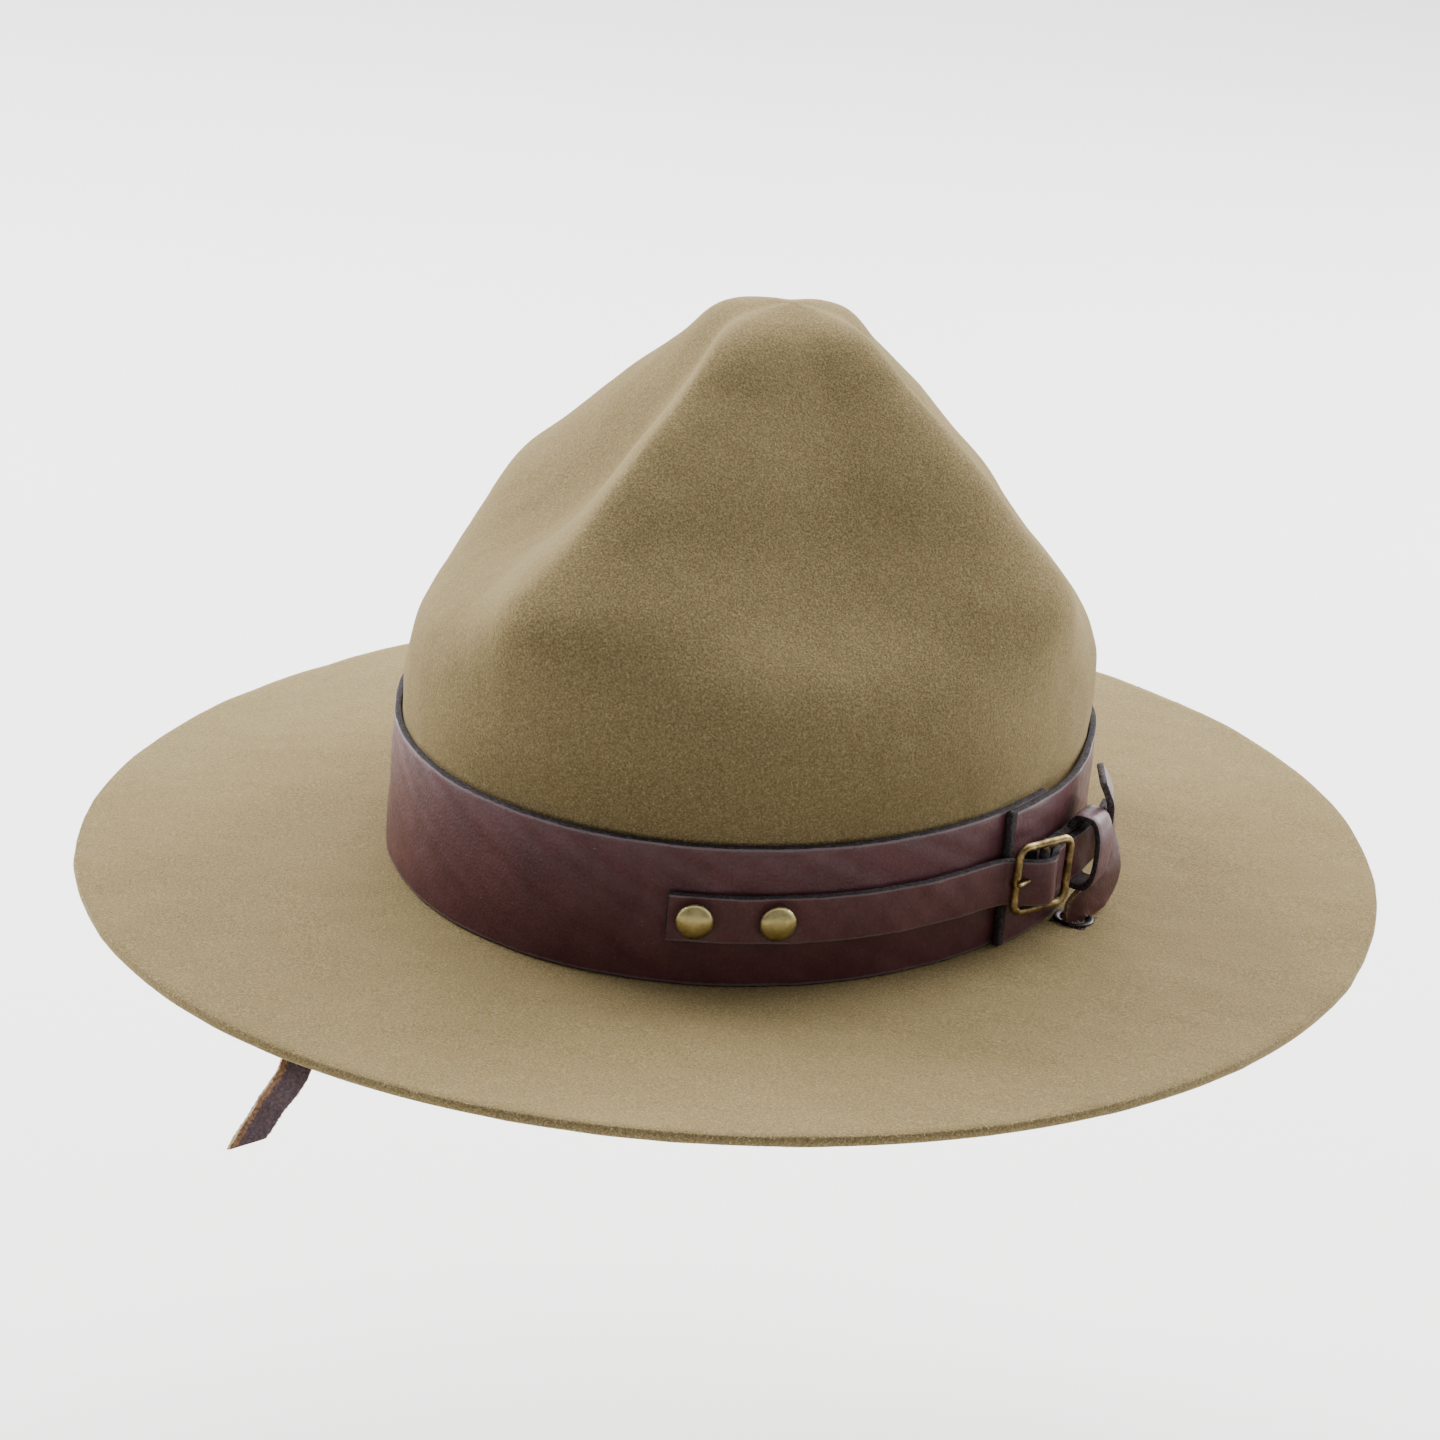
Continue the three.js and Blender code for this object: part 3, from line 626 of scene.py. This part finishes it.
def punch_eyelet(points, faces):
    """Leaves out the brim's faces that lie under the eyelet's lip."""
    from_middle = np.linalg.norm(points[:, :2] - eyelet_middle()[:2], axis=1)
    crown_foot = 10
    gone = (from_middle < EYELET_BORE / 2 + EYELET_WALL) & (points[:, 2] < crown_foot)
    return [face for face in faces if not any(gone[corner] for corner in face)]


def build_fibres(name, skin, material, longest, widest):
    """Short loose fibres of the felt, each a sliver of one triangle."""
    flattest = 0.06
    steepest = 0.75
    a = skin[:-1]
    b = np.roll(skin, -1, axis=1)[:-1]
    c = np.roll(skin, -1, axis=1)[1:]
    d = skin[1:]
    area = np.linalg.norm(np.cross(c - a, d - b), axis=-1).ravel()
    picked = rng.choice(len(area), FIBRES, p=area / area.sum())
    a, b, c, d = (grid.reshape(-1, 3)[picked] for grid in (a, b, c, d))
    u, v = rng.random((2, FIBRES, 1))
    root = (1 - u) * (1 - v) * a + u * (1 - v) * b + u * v * c + (1 - u) * v * d
    normal = -unit(np.cross(b - a, d - a))
    side = unit(np.cross(normal, rng.normal(size=(FIBRES, 3))))
    lift = rng.random((FIBRES, 1)) ** 2 * steepest + flattest
    length = longest * rng.uniform(0.4, 1.0, (FIBRES, 1))
    tip = root + length * unit(side + lift * normal)
    width = widest * rng.uniform(0.5, 1.0, (FIBRES, 1))
    half = np.cross(side, normal) * width
    points = np.concatenate([root - half, root + half, tip])
    index = np.arange(FIBRES)
    faces = np.stack([index, index + FIBRES, index + 2 * FIBRES], axis=1).tolist()
    return make_mesh(name, points, faces, [material], smooth=False)


def strip_profile(across_steps):
    """Columns round a strip: the side and the face, each from -1 to 1, then how far a rounded
    corner reaches to the side and out of the face."""
    turns = np.radians([60, 30, 0])
    half = [(step, 1, 0, 1) for step in np.linspace(-1, 1, across_steps + 1)]
    half += [(1, 1, math.cos(turn), math.sin(turn)) for turn in turns]
    half += [(1, -1, math.cos(turn), -math.sin(turn)) for turn in turns[::-1]]
    half = np.array(half)
    return np.concatenate([half, -half]).T


def strip_kinds(rows, across_steps, dark_end_rows):
    """The material of each face of a strip. Its ends are cut edges, and its first rows, as many as
    asked for, take the cut edges' material too; past the first row this paints the grain side black.
    """
    corner = [EDGE] * 5
    ring = [GRAIN] * (across_steps + 1) + corner + [FLESH] * (across_steps + 2) + corner + [GRAIN]
    cut_ring = [EDGE] * len(ring)
    return cut_ring * dark_end_rows + ring * (rows - 2 - dark_end_rows) + cut_ring + [EDGE, EDGE]


def sweep(name, stations, corner, materials, across_steps=10, slant=0.0, relief=None, fray=0.08,
          dark_end_rows=1):
    """A strip with rounded corners. Stations hold the middle, the way across, the width and
    the thickness. Materials are those of the grain side, the cut edges and the flesh side.
    Relief gives the grain side's height from the length and the place across, and fray is how
    far the edges wander."""
    middle, across, width, thickness = stations
    ahead = unit(np.gradient(middle, axis=0))
    outward = unit(np.cross(ahead, across))
    across = unit(np.cross(outward, ahead))
    length = lengths_along(middle)
    side, face, round_side, round_face = strip_profile(across_steps)
    columns = len(side)
    half = (width / 2 - corner)[:, None]
    deep = (thickness / 2 - corner)[:, None]
    over = side * half + round_side * corner
    proud = face * deep + round_face * corner
    frays = [ripple(length, 2.3, column) for column in range(columns)]
    over = over + fray * np.abs(round_side) * np.stack(frays, axis=1)
    if relief is not None:
        proud = proud + relief(length[:, None], over) * (face > 0)
    points = middle[:, None] + over[..., None] * across[:, None] + proud[..., None] * outward[:, None]
    cut = slant * smoothstep(length, length[-1] - SLANT_START * width[-1], length[-1])
    points += (cut[:, None] * over)[..., None] * ahead[:, None]
    caps = []
    for end, inward in ((0, 1), (-1, -1)):
        shrink = 1 - corner / np.maximum(np.abs(over[end]), corner * 2)
        flatten = 1 - corner / thickness[end]
        tight = middle[end] + (over[end] * shrink)[:, None] * across[end]
        tight = tight + (proud[end] * flatten)[:, None] * outward[end]
        caps.append(tight + (cut[end] * over[end] * shrink)[:, None] * ahead[end])
        points[end] = points[end] + inward * corner * 0.8 * ahead[end]
    points = np.concatenate([caps[0][None], points, caps[1][None]])
    rows = len(points)
    faces = grid_faces(rows, columns) + end_faces(rows, columns)
    kinds = strip_kinds(rows, across_steps, dark_end_rows)
    place = np.tile(side + round_side * 0.02, rows)
    return make_mesh(name, points.reshape(-1, 3), faces, materials, kinds, place)


def build_band(materials):
    travel = np.linspace(0, 360 + BAND_LAP, BAND_STEPS)
    facing = np.radians(SEAM_FACING + travel)
    settled = smoothstep(travel, BAND_LAP * 1.1, BAND_LAP * 3)
    lift = GAP + (1 - settled) * (LEATHER + GAP)
    lean = (CROWN[2][1] - 1) * foot_radius(0) / (CROWN[2][0] * CROWN_HEIGHT)
    out = lift + LEATHER / 2 + lean * BAND_HEIGHT / 2
    middle = point_at(facing, foot_radius(facing, out), BAND_FOOT + BAND_HEIGHT / 2)
    across = unit(point_at(facing, lean, 1.0))
    width = np.full(BAND_STEPS, BAND_HEIGHT)
    thickness = np.full(BAND_STEPS, LEATHER)
    most_proud = 0.2

    def relief(length, over):
        slow = 0.16 * ripple(length, 60, 3) + 0.12 * ripple(length + 2 * over, 23, 4)
        return np.minimum(slow, most_proud)
    # The band's first three rows are black: the dyed cut end of its top layer, and painted shade of the
    # gap where it laps its other end
    return sweep("broad_band", (middle, across, width, thickness), BAND_CORNER, materials, 26,
                 relief=relief, fray=0.12, dark_end_rows=3)


def strap_route(steps):
    """Facings of the narrow strap, and how far out of the felt its middle lies."""
    per_degree = foot_radius(math.radians(BUCKLE_FACING), BAND_FACE) * math.radians(1)
    half_buckle = BUCKLE_LENGTH / 2 / per_degree
    near = [(BUCKLE_FACING + across * half_buckle, bar, tab) for across, bar, tab in STRAP_NEAR_BUCKLE]
    lead = [(STRAP_END + (near[0][0] - STRAP_END) * share, 0, 0) for share in (0, 0.35, 0.7)]
    facing, over_bar, over_tab = along(lead + near, np.linspace(0, 1, steps)).T
    bar_top = BUCKLE_LIFT + WIRE / 2 + GAP
    tab_top = LEATHER + 3 * GAP + TAB_THICKNESS
    lift = GAP * (1 - over_bar - over_tab) + bar_top * over_bar + tab_top * over_tab
    return np.radians(facing), BAND_FACE + lift + LEATHER / 2


def build_strap(materials):
    """The narrow strap, pressed in round its rivets and pierced for the buckle's tongue."""
    facing, out = strap_route(STRAP_STEPS)
    middle = point_at(facing, foot_radius(facing, out), STRAP_MIDDLE)
    across = np.tile([0.0, 0.0, 1.0], (STRAP_STEPS, 1))
    length = lengths_along(middle)
    rivets = np.interp(np.radians(RIVET_FACINGS), facing, length)
    before_buckle = 4.4
    hole = np.interp(math.radians(BUCKLE_FACING - before_buckle), facing, length)
    hole_length = 1.1
    hole_height = 0.95
    hole_depth = 1.6
    press_width = 1.3
    press_depth = 0.55
    width = STRAP_WIDTH * (1 + 0.012 * ripple(length, 26, 8))
    thickness = np.full(STRAP_STEPS, LEATHER)

    def relief(place, over):
        lift = 0.1 * ripple(place + over, 17, 5)
        for rivet in rivets:
            away = np.hypot(place - rivet, over)
            lift = lift - press_depth * np.exp(-((away - RIVET_RADIUS) / press_width) ** 2)
        from_hole = ((place - hole) / hole_length) ** 2 + (over / hole_height) ** 2
        return lift - hole_depth * np.exp(-from_hole)
    return sweep("narrow_strap", (middle, across, width, thickness), STRAP_CORNER, materials, 34,
                 relief=relief)


def seat(facing, out, height, turn=0.0):
    """Turn and place of a fitting on the band: its x runs round the hat, y up, z outward."""
    angle = math.radians(facing)
    just_before = angle - 0.01
    middle = point_at(angle, foot_radius(angle, BAND_FACE + out), height)
    before = point_at(just_before, foot_radius(just_before, BAND_FACE + out), height)
    turned = Matrix.Rotation(math.radians(turn), 3, "Z")
    ahead = turned @ Vector(middle - before).normalized()
    up = Vector((0, 0, 1))
    basis = Matrix((ahead, up, ahead.cross(up))).transposed()
    return np.array(basis), middle


def buckle_seat():
    return seat(BUCKLE_FACING, BUCKLE_LIFT, STRAP_MIDDLE + BUCKLE_RISE, BUCKLE_TURN)


def seated(points, place):
    basis, middle = place
    return points @ basis.T + middle


def build_lathe(name, profile, place, material, sides=ROUND_SIDES):
    """A round piece from radius and height pairs, whose axis is the seat's outward axis. A
    profile whose last pair is its first makes a ring, and another is closed by flat ends."""
    ring = profile[0] == profile[-1]
    pairs = profile[:-1] if ring else profile
    turns = np.linspace(0, 2 * np.pi, sides, endpoint=False)
    points = np.array([[r * np.cos(turns), r * np.sin(turns), np.full(sides, z)] for r, z in pairs])
    points = points.transpose(0, 2, 1).reshape(-1, 3)
    close = joining_faces if ring else end_faces
    faces = grid_faces(len(pairs), sides) + close(len(pairs), sides)
    return make_mesh(name, seated(points, place), faces, [material])


def build_rivets(material):
    """Domed caps with a short straight edge that is rounded at its foot."""
    edge_rise = 0.55
    profile = [(RIVET_RADIUS - 0.35, 0.0), (RIVET_RADIUS - 0.05, 0.15), (RIVET_RADIUS, 0.4)]
    for turn in np.radians(np.linspace(4, 86, 14)):
        rise = edge_rise + (RIVET_RISE - edge_rise) * math.sin(turn)
        profile.append((RIVET_RADIUS * math.cos(turn), rise))
    for end, facing in zip(("front", "rear"), RIVET_FACINGS):
        place = seat(facing, LEATHER + 3 * GAP, STRAP_MIDDLE)
        rivet = build_lathe("strap_rivet_" + end, profile, place, material)
        fit(rivet, "brass", "rivet_" + end)


def buckle_line():
    """Places along the middle of the buckle's wire, and which way is outward at each."""
    corner_x = (BUCKLE_LENGTH - WIRE) / 2 - BUCKLE_BEND
    corner_y = (BUCKLE_HEIGHT - WIRE) / 2 - BUCKLE_BEND
    bends = []
    for quarter, (right, up) in enumerate(((1, 1), (-1, 1), (-1, -1), (1, -1))):
        for turn in np.linspace(quarter, quarter + 1, WIRE_BEND_STEPS) * np.pi / 2:
            outward = np.array([math.cos(turn), math.sin(turn), 0])
            corner = np.array([right * corner_x, up * corner_y, 0])
            bends.append((corner + outward * BUCKLE_BEND, outward))
    line = []
    for number, (middle, outward) in enumerate(bends):
        following, towards = bends[(number + 1) % len(bends)]
        straight = np.linalg.norm(following - middle) > BUCKLE_BEND
        steps = WIRE_STRAIGHT_STEPS if straight else 1
        for step in range(steps):
            share = step / steps
            centre = middle * (1 - share) + following * share
            around = unit(outward * (1 - share) + towards * share)
            wear = 1 + 0.03 * math.sin(number * 2.1 + step)
            line.append((centre, around, wear))
    return line


def build_buckle(material):
    """A rounded wire frame with a bar across its middle, slightly flat on its outer side."""
    turns = np.linspace(0, 2 * np.pi, WIRE_SIDES, endpoint=False)
    away = np.sign(np.cos(turns)) * np.abs(np.cos(turns)) ** 0.85
    proud = np.sin(turns) * 0.94
    rings = []
    for centre, around, wear in buckle_line():
        ring = centre + WIRE / 2 * wear * away[:, None] * around
        ring[:, 2] += WIRE / 2 * wear * proud
        rings.append(ring)
    frame_rings = len(rings)
    half_height = (BUCKLE_HEIGHT - WIRE) / 2
    for height in np.linspace(-half_height, half_height, BAR_RINGS):
        level = np.full(WIRE_SIDES, height)
        rings.append(np.stack([BAR_RADIUS * np.cos(turns), level, BAR_RADIUS * np.sin(turns)], axis=1))
    faces = grid_faces(frame_rings, WIRE_SIDES) + joining_faces(frame_rings, WIRE_SIDES)
    faces += grid_faces(BAR_RINGS, WIRE_SIDES, frame_rings * WIRE_SIDES)
    return make_mesh("buckle_ring", seated(np.concatenate(rings), buckle_seat()), faces, [material])


def build_prong(material):
    """The buckle's tongue, from the middle bar to its far side, thinner towards both ends."""
    far = (BUCKLE_LENGTH + PRONG) / 2
    top = WIRE / 2 + GAP + PRONG / 2
    start = np.array([-BAR_RADIUS - GAP - PRONG / 2, 0, 0])
    end = np.array([-far, 0, top * far / (far - PRONG)])
    sizes = np.concatenate([[0.3, 0.75], np.linspace(1, 0.84, 20), [0.62, 0.2]])
    turns = np.linspace(0, 2 * np.pi, PRONG_SIDES, endpoint=False)[:, None]
    ahead = unit(end - start)
    over = np.array([0.0, 1.0, 0.0])
    ring = np.cos(turns) * over + np.sin(turns) * np.cross(ahead, over)
    rings = []
    for share, size in zip(np.linspace(0, 1, len(sizes)), sizes):
        rings.append(start + (end - start) * share + PRONG / 2 * size * ring)
    faces = grid_faces(len(rings), PRONG_SIDES) + end_faces(len(rings), PRONG_SIDES)
    points = seated(np.concatenate(rings), buckle_seat())
    return make_mesh("buckle_tongue", points, faces, [material])


def build_tab(materials):
    """The folded leather that holds the buckle and runs on under the loop."""
    start = math.radians(BUCKLE_FACING)
    out = BAND_FACE + LEATHER + 2 * GAP + TAB_THICKNESS / 2
    past_loop = 1
    length = TAB_LENGTH + LOOP_GAP + LOOP_WIDTH + past_loop
    facing = start + length / foot_radius(start, out) * np.linspace(0, 1, TAB_STEPS)
    middle = point_at(facing, foot_radius(facing, out), STRAP_MIDDLE)
    across = np.tile([0.0, 0.0, 1.0], (TAB_STEPS, 1))
    width = TAB_HEIGHT * (1 + 0.02 * ripple(np.linspace(0, length, TAB_STEPS), 5, 21))
    thickness = np.full(TAB_STEPS, TAB_THICKNESS)
    return sweep("buckle_fold", (middle, across, width, thickness), STRAP_CORNER, materials, fray=0.25)


def build_fold(material):
    """The tab's end wrapped round the buckle's middle bar."""
    basis, middle = buckle_seat()
    upright = np.stack([basis[:, 2], basis[:, 0], basis[:, 1]], axis=1)
    wrap = BAR_RADIUS + FOLD_LEATHER
    half = BUCKLE_HEIGHT / 2 - WIRE - GAP
    profile = [(wrap - 0.2, -half), (wrap, 0.3 - half), (wrap, half - 0.3), (wrap - 0.2, half)]
    return build_lathe("buckle_fold_round", profile, (upright, middle), material, 24)


def loop_profile():
    """The loop's section: along the band, how deep under its outer face, and the material."""
    side = LOOP_WIDTH / 2
    soft = LOOP_CORNER
    third = soft / 3
    inner = LOOP_LEATHER
    return [
        (-side + soft, 0, GRAIN),
        (-side / 2, -0.05, GRAIN),
        (0, -0.08, GRAIN),
        (side / 2, -0.05, GRAIN),
        (side - soft, 0, GRAIN),
        (side - third, third, EDGE),
        (side, soft, EDGE),
        (side, inner - soft, EDGE),
        (side - third, inner - third, FLESH),
        (side - soft, inner, FLESH),
        (0, inner, FLESH),
        (-side + soft, inner, FLESH),
        (-side + third, inner - third, EDGE),
        (-side, inner - soft, EDGE),
        (-side, soft, EDGE),
        (-side + third, third, GRAIN),
    ]


def build_loop(materials):
    """The leather loop round the narrow strap, a rounded ring with soft edges."""
    squareness = 0.75
    beside = foot_radius(math.radians(BUCKLE_FACING), BAND_FACE)
    facing = BUCKLE_FACING + math.degrees((TAB_LENGTH + LOOP_GAP + LOOP_WIDTH / 2) / beside)
    place = seat(facing, LEATHER + 2 * GAP, STRAP_MIDDLE)
    x, inner, kinds = (np.array(column) for column in zip(*loop_profile()))
    rings = []
    for turn in np.linspace(0, 2 * np.pi, LOOP_STEPS, endpoint=False):
        wander = 0.12 * math.sin(3 * turn + 0.5) + 0.08 * math.sin(7 * turn)
        along_band = x * (1 + 0.02 * math.sin(5 * turn)) + wander
        up = math.copysign(abs(math.sin(turn)) ** squareness, math.sin(turn))
        out = math.copysign(abs(math.cos(turn)) ** squareness, math.cos(turn))
        height = up * (LOOP_HEIGHT / 2 - inner) + LOOP_RISE
        reach = out * (LOOP_REACH / 2 - inner) + LOOP_REACH / 2
        rings.append(np.stack([along_band, height, reach], axis=1))
    faces = grid_faces(LOOP_STEPS, len(x)) + joining_faces(LOOP_STEPS, len(x))
    across = np.tile(x / (LOOP_WIDTH / 2), LOOP_STEPS)
    points = seated(np.concatenate(rings), place)
    return make_mesh("strap_keeper", points, faces, materials, kinds.tolist() * LOOP_STEPS, across)


def build_head_strap(materials):
    places = np.linspace(0, 1, HEAD_STRAP_STEPS)
    facing, out, height, looks, share = along(HEAD_STRAP, places).T
    facing = np.radians(facing)
    radius = foot_radius(facing, BAND_FACE + out * HEAD_STRAP_WIDTH)
    middle = point_at(facing, radius, height * BAND_HEIGHT)
    ahead = unit(np.gradient(middle, axis=0))
    across = unit(np.cross(point_at(np.radians(looks), 1.0, 0.0), ahead))
    wander = 1 + 0.015 * ripple(lengths_along(middle), 14, 13)
    width = share * HEAD_STRAP_WIDTH * wander
    thickness = np.full(HEAD_STRAP_STEPS, HEAD_STRAP_THICKNESS)

    def relief(place, over):
        return 0.07 * ripple(place + over, 11, 14)
    return sweep("chin_strap", (middle, across, width, thickness), HEAD_STRAP_CORNER, materials, 12,
                 END_CUT, relief, fray=0.2)


def build_eyelet(material):
    """A metal tube through the brim, with a round lip on top and a flat one below."""
    bore = EYELET_BORE / 2
    tube = bore + EYELET_WALL
    lip = tube + EYELET_FLANGE
    top = FELT / 2 + GAP
    rise = EYELET_WALL
    profile = [(tube, top)]
    for turn in np.radians(np.linspace(180, 0, 12)):
        out = bore + (lip - bore) * (0.5 - 0.5 * math.cos(turn))
        profile.append((out, top + rise * math.sin(turn)))
    profile += [(bore, -top), (bore, -top - rise / 2), (tube, -top - rise), (lip, -top - rise / 2),
                (lip, -top), (tube, -top), (tube, top)]
    place = (np.eye(3), eyelet_middle())
    return build_lathe("brim_eyelet", profile, place, material, 40)


def camera_axes():
    """The way to the right, up and into the picture, before the camera's roll."""
    side, rise = math.radians(CAMERA_SIDE), math.radians(CAMERA_RISE)
    right = Vector((math.cos(side), math.sin(side), 0))
    away = Vector((-math.sin(side), math.cos(side), 0))
    depth = away * math.cos(rise) - Vector((0, 0, math.sin(rise)))
    up = away * math.sin(rise) + Vector((0, 0, math.cos(rise)))
    return right, up, depth


def camera_level():
    """The way the camera looks, without its tilt."""
    depth = camera_axes()[2]
    return Vector((depth.x, depth.y, 0)).normalized()


def add_camera():
    right, up, depth = camera_axes()
    roll = math.radians(CAMERA_ROLL)
    x_axis = right * math.cos(roll) - up * math.sin(roll)
    y_axis = right * math.sin(roll) + up * math.cos(roll)
    lens = bpy.data.cameras.new("photo_view")
    lens.lens = LENS
    lens.sensor_width = SENSOR
    camera = bpy.data.objects.new("photo_view", lens)
    bpy.context.scene.collection.objects.link(camera)
    position = (right * CAMERA_RIGHT + up * CAMERA_UP - depth * CAMERA_DISTANCE) * MM
    basis = Matrix((x_axis, y_axis, -depth)).transposed().to_4x4()
    camera.matrix_world = Matrix.Translation(position) @ basis
    bpy.context.scene.camera = camera


def add_floor():
    """A plain pale floor below the strap's free end, wide enough to fill the photo's view."""
    height = cad_bounds[0][2] / MM - FLOOR_DROP
    turns = np.linspace(0, 2 * np.pi, FLOOR_SIDES, endpoint=False)
    level = np.full(FLOOR_SIDES, height)
    points = np.stack([FLOOR_RADIUS * np.cos(turns), FLOOR_RADIUS * np.sin(turns), level], axis=1)
    surface = Surface("floor", Roughness=0.9)
    tone = surface.ramp(surface.noise(400, 2), (0.3, srgb(251, 251, 250)), (0.7, srgb(253, 253, 252)))
    pale = surface.link(Base_Color=tone)
    make_mesh("floor", points, [list(range(FLOOR_SIDES))], [pale], smooth=False)


def add_world():
    """Soft light all round, brighter from behind the hat than from the camera's side. The sky
    itself looks even, so that low views have a plain background."""
    world = bpy.data.worlds.new("studio")
    world.use_nodes = True
    tree = world.node_tree
    background = tree.nodes["Background"]
    place = tree.nodes.new("ShaderNodeTexCoord")
    towards = tree.nodes.new("ShaderNodeVectorMath")
    towards.operation = "DOT_PRODUCT"
    level = camera_level()
    towards.inputs[1].default_value = (level.x, level.y, SKY_TILT)
    tone = tree.nodes.new("ShaderNodeMapRange")
    tone.inputs["From Min"].default_value = SKY_START
    tone.inputs["From Max"].default_value = 1.0
    tone.inputs["To Min"].default_value = FRONT_SKY
    tone.inputs["To Max"].default_value = BACK_SKY
    path = tree.nodes.new("ShaderNodeLightPath")
    seen = tree.nodes.new("ShaderNodeMix")
    seen.inputs["B"].default_value = SEEN_SKY
    tree.links.new(place.outputs["Generated"], towards.inputs[0])
    tree.links.new(towards.outputs["Value"], tone.inputs["Value"])
    tree.links.new(path.outputs["Is Camera Ray"], seen.inputs["Factor"])
    tree.links.new(tone.outputs["Result"], seen.inputs["A"])
    tree.links.new(seen.outputs["Result"], background.inputs["Strength"])
    background.inputs["Color"].default_value = (1, 1, 1, 1)
    bpy.context.scene.world = world


def add_lights():
    right = camera_axes()[0]
    for name, behind, beside, above, size, power in LAMPS:
        light = bpy.data.lights.new(name, "AREA")
        light.shape = "DISK"
        light.size = size
        light.energy = power
        lamp = bpy.data.objects.new(name, light)
        lamp.location = camera_level() * behind + right * beside + Vector((0, 0, above))
        lamp.rotation_euler = (LAMP_AIM - lamp.location).to_track_quat("-Z", "Y").to_euler()
        bpy.context.scene.collection.objects.link(lamp)


black_edge = raw_material("leather_edge", srgb(20, 17, 18), srgb(62, 55, 58), 0.35)
flesh = raw_material("leather_flesh", srgb(44, 30, 31), srgb(76, 54, 54))
# The last colour of each grain side is its pale edge line: burnishing with a painted highlight
band_grain = grain_material("leather_band", srgb(68, 37, 41), srgb(82, 48, 52), srgb(96, 84, 88), 0.024)
strap_grain = grain_material("leather_strap", srgb(72, 42, 45), srgb(88, 55, 58), srgb(92, 78, 80))
loop_grain = grain_material("leather_loop", srgb(76, 50, 54), srgb(94, 66, 71), srgb(110, 96, 100),
                            line=0.08, roughness=0.45)
head_grain = grain_material("leather_head_strap", srgb(62, 36, 35), srgb(82, 50, 47),
                            srgb(96, 76, 68), line=0.06, roughness=0.4)
rivet_brass = brass_material("rivet_brass", 0.06, srgb(150, 138, 92), srgb(166, 154, 106),
                             srgb(182, 170, 124))
buckle_brass = brass_material("buckle_brass", 0.4, srgb(92, 78, 50), srgb(134, 116, 76),
                              srgb(182, 162, 114))

hat_felt, skin = build_felt(felt_material())
fit(hat_felt, "felt", "felt_body")
fibre = fibre_material()
fit(build_fibres("hat_felt_fibres", skin, fibre, 2.2, 0.09), "felt")
fit(build_fibres("hat_felt_nap", skin, fibre, 1.2, 0.13), "felt")
fit(build_band([band_grain, black_edge, flesh]), "leather", "hat_band")
fit(build_strap([strap_grain, black_edge, flesh]), "leather", "band_strap")
build_rivets(rivet_brass)
fit(build_buckle(buckle_brass), "brass", "buckle_frame")
fit(build_prong(buckle_brass), "brass", "buckle_prong")
fit(build_tab([flesh, black_edge, flesh]), "leather", "buckle_tab")
fit(build_fold(black_edge), "leather")
fit(build_loop([loop_grain, black_edge, flesh]), "leather", "strap_loop")
head_sides = [head_grain, head_edge_material(), head_flesh_material()]
fit(build_head_strap(head_sides), "leather", "head_strap")
fit(build_eyelet(dark_metal_material()), "dark_metal", "eyelet")

add_camera()
add_floor()
add_world()
add_lights()

bpy.context.view_layer.update()
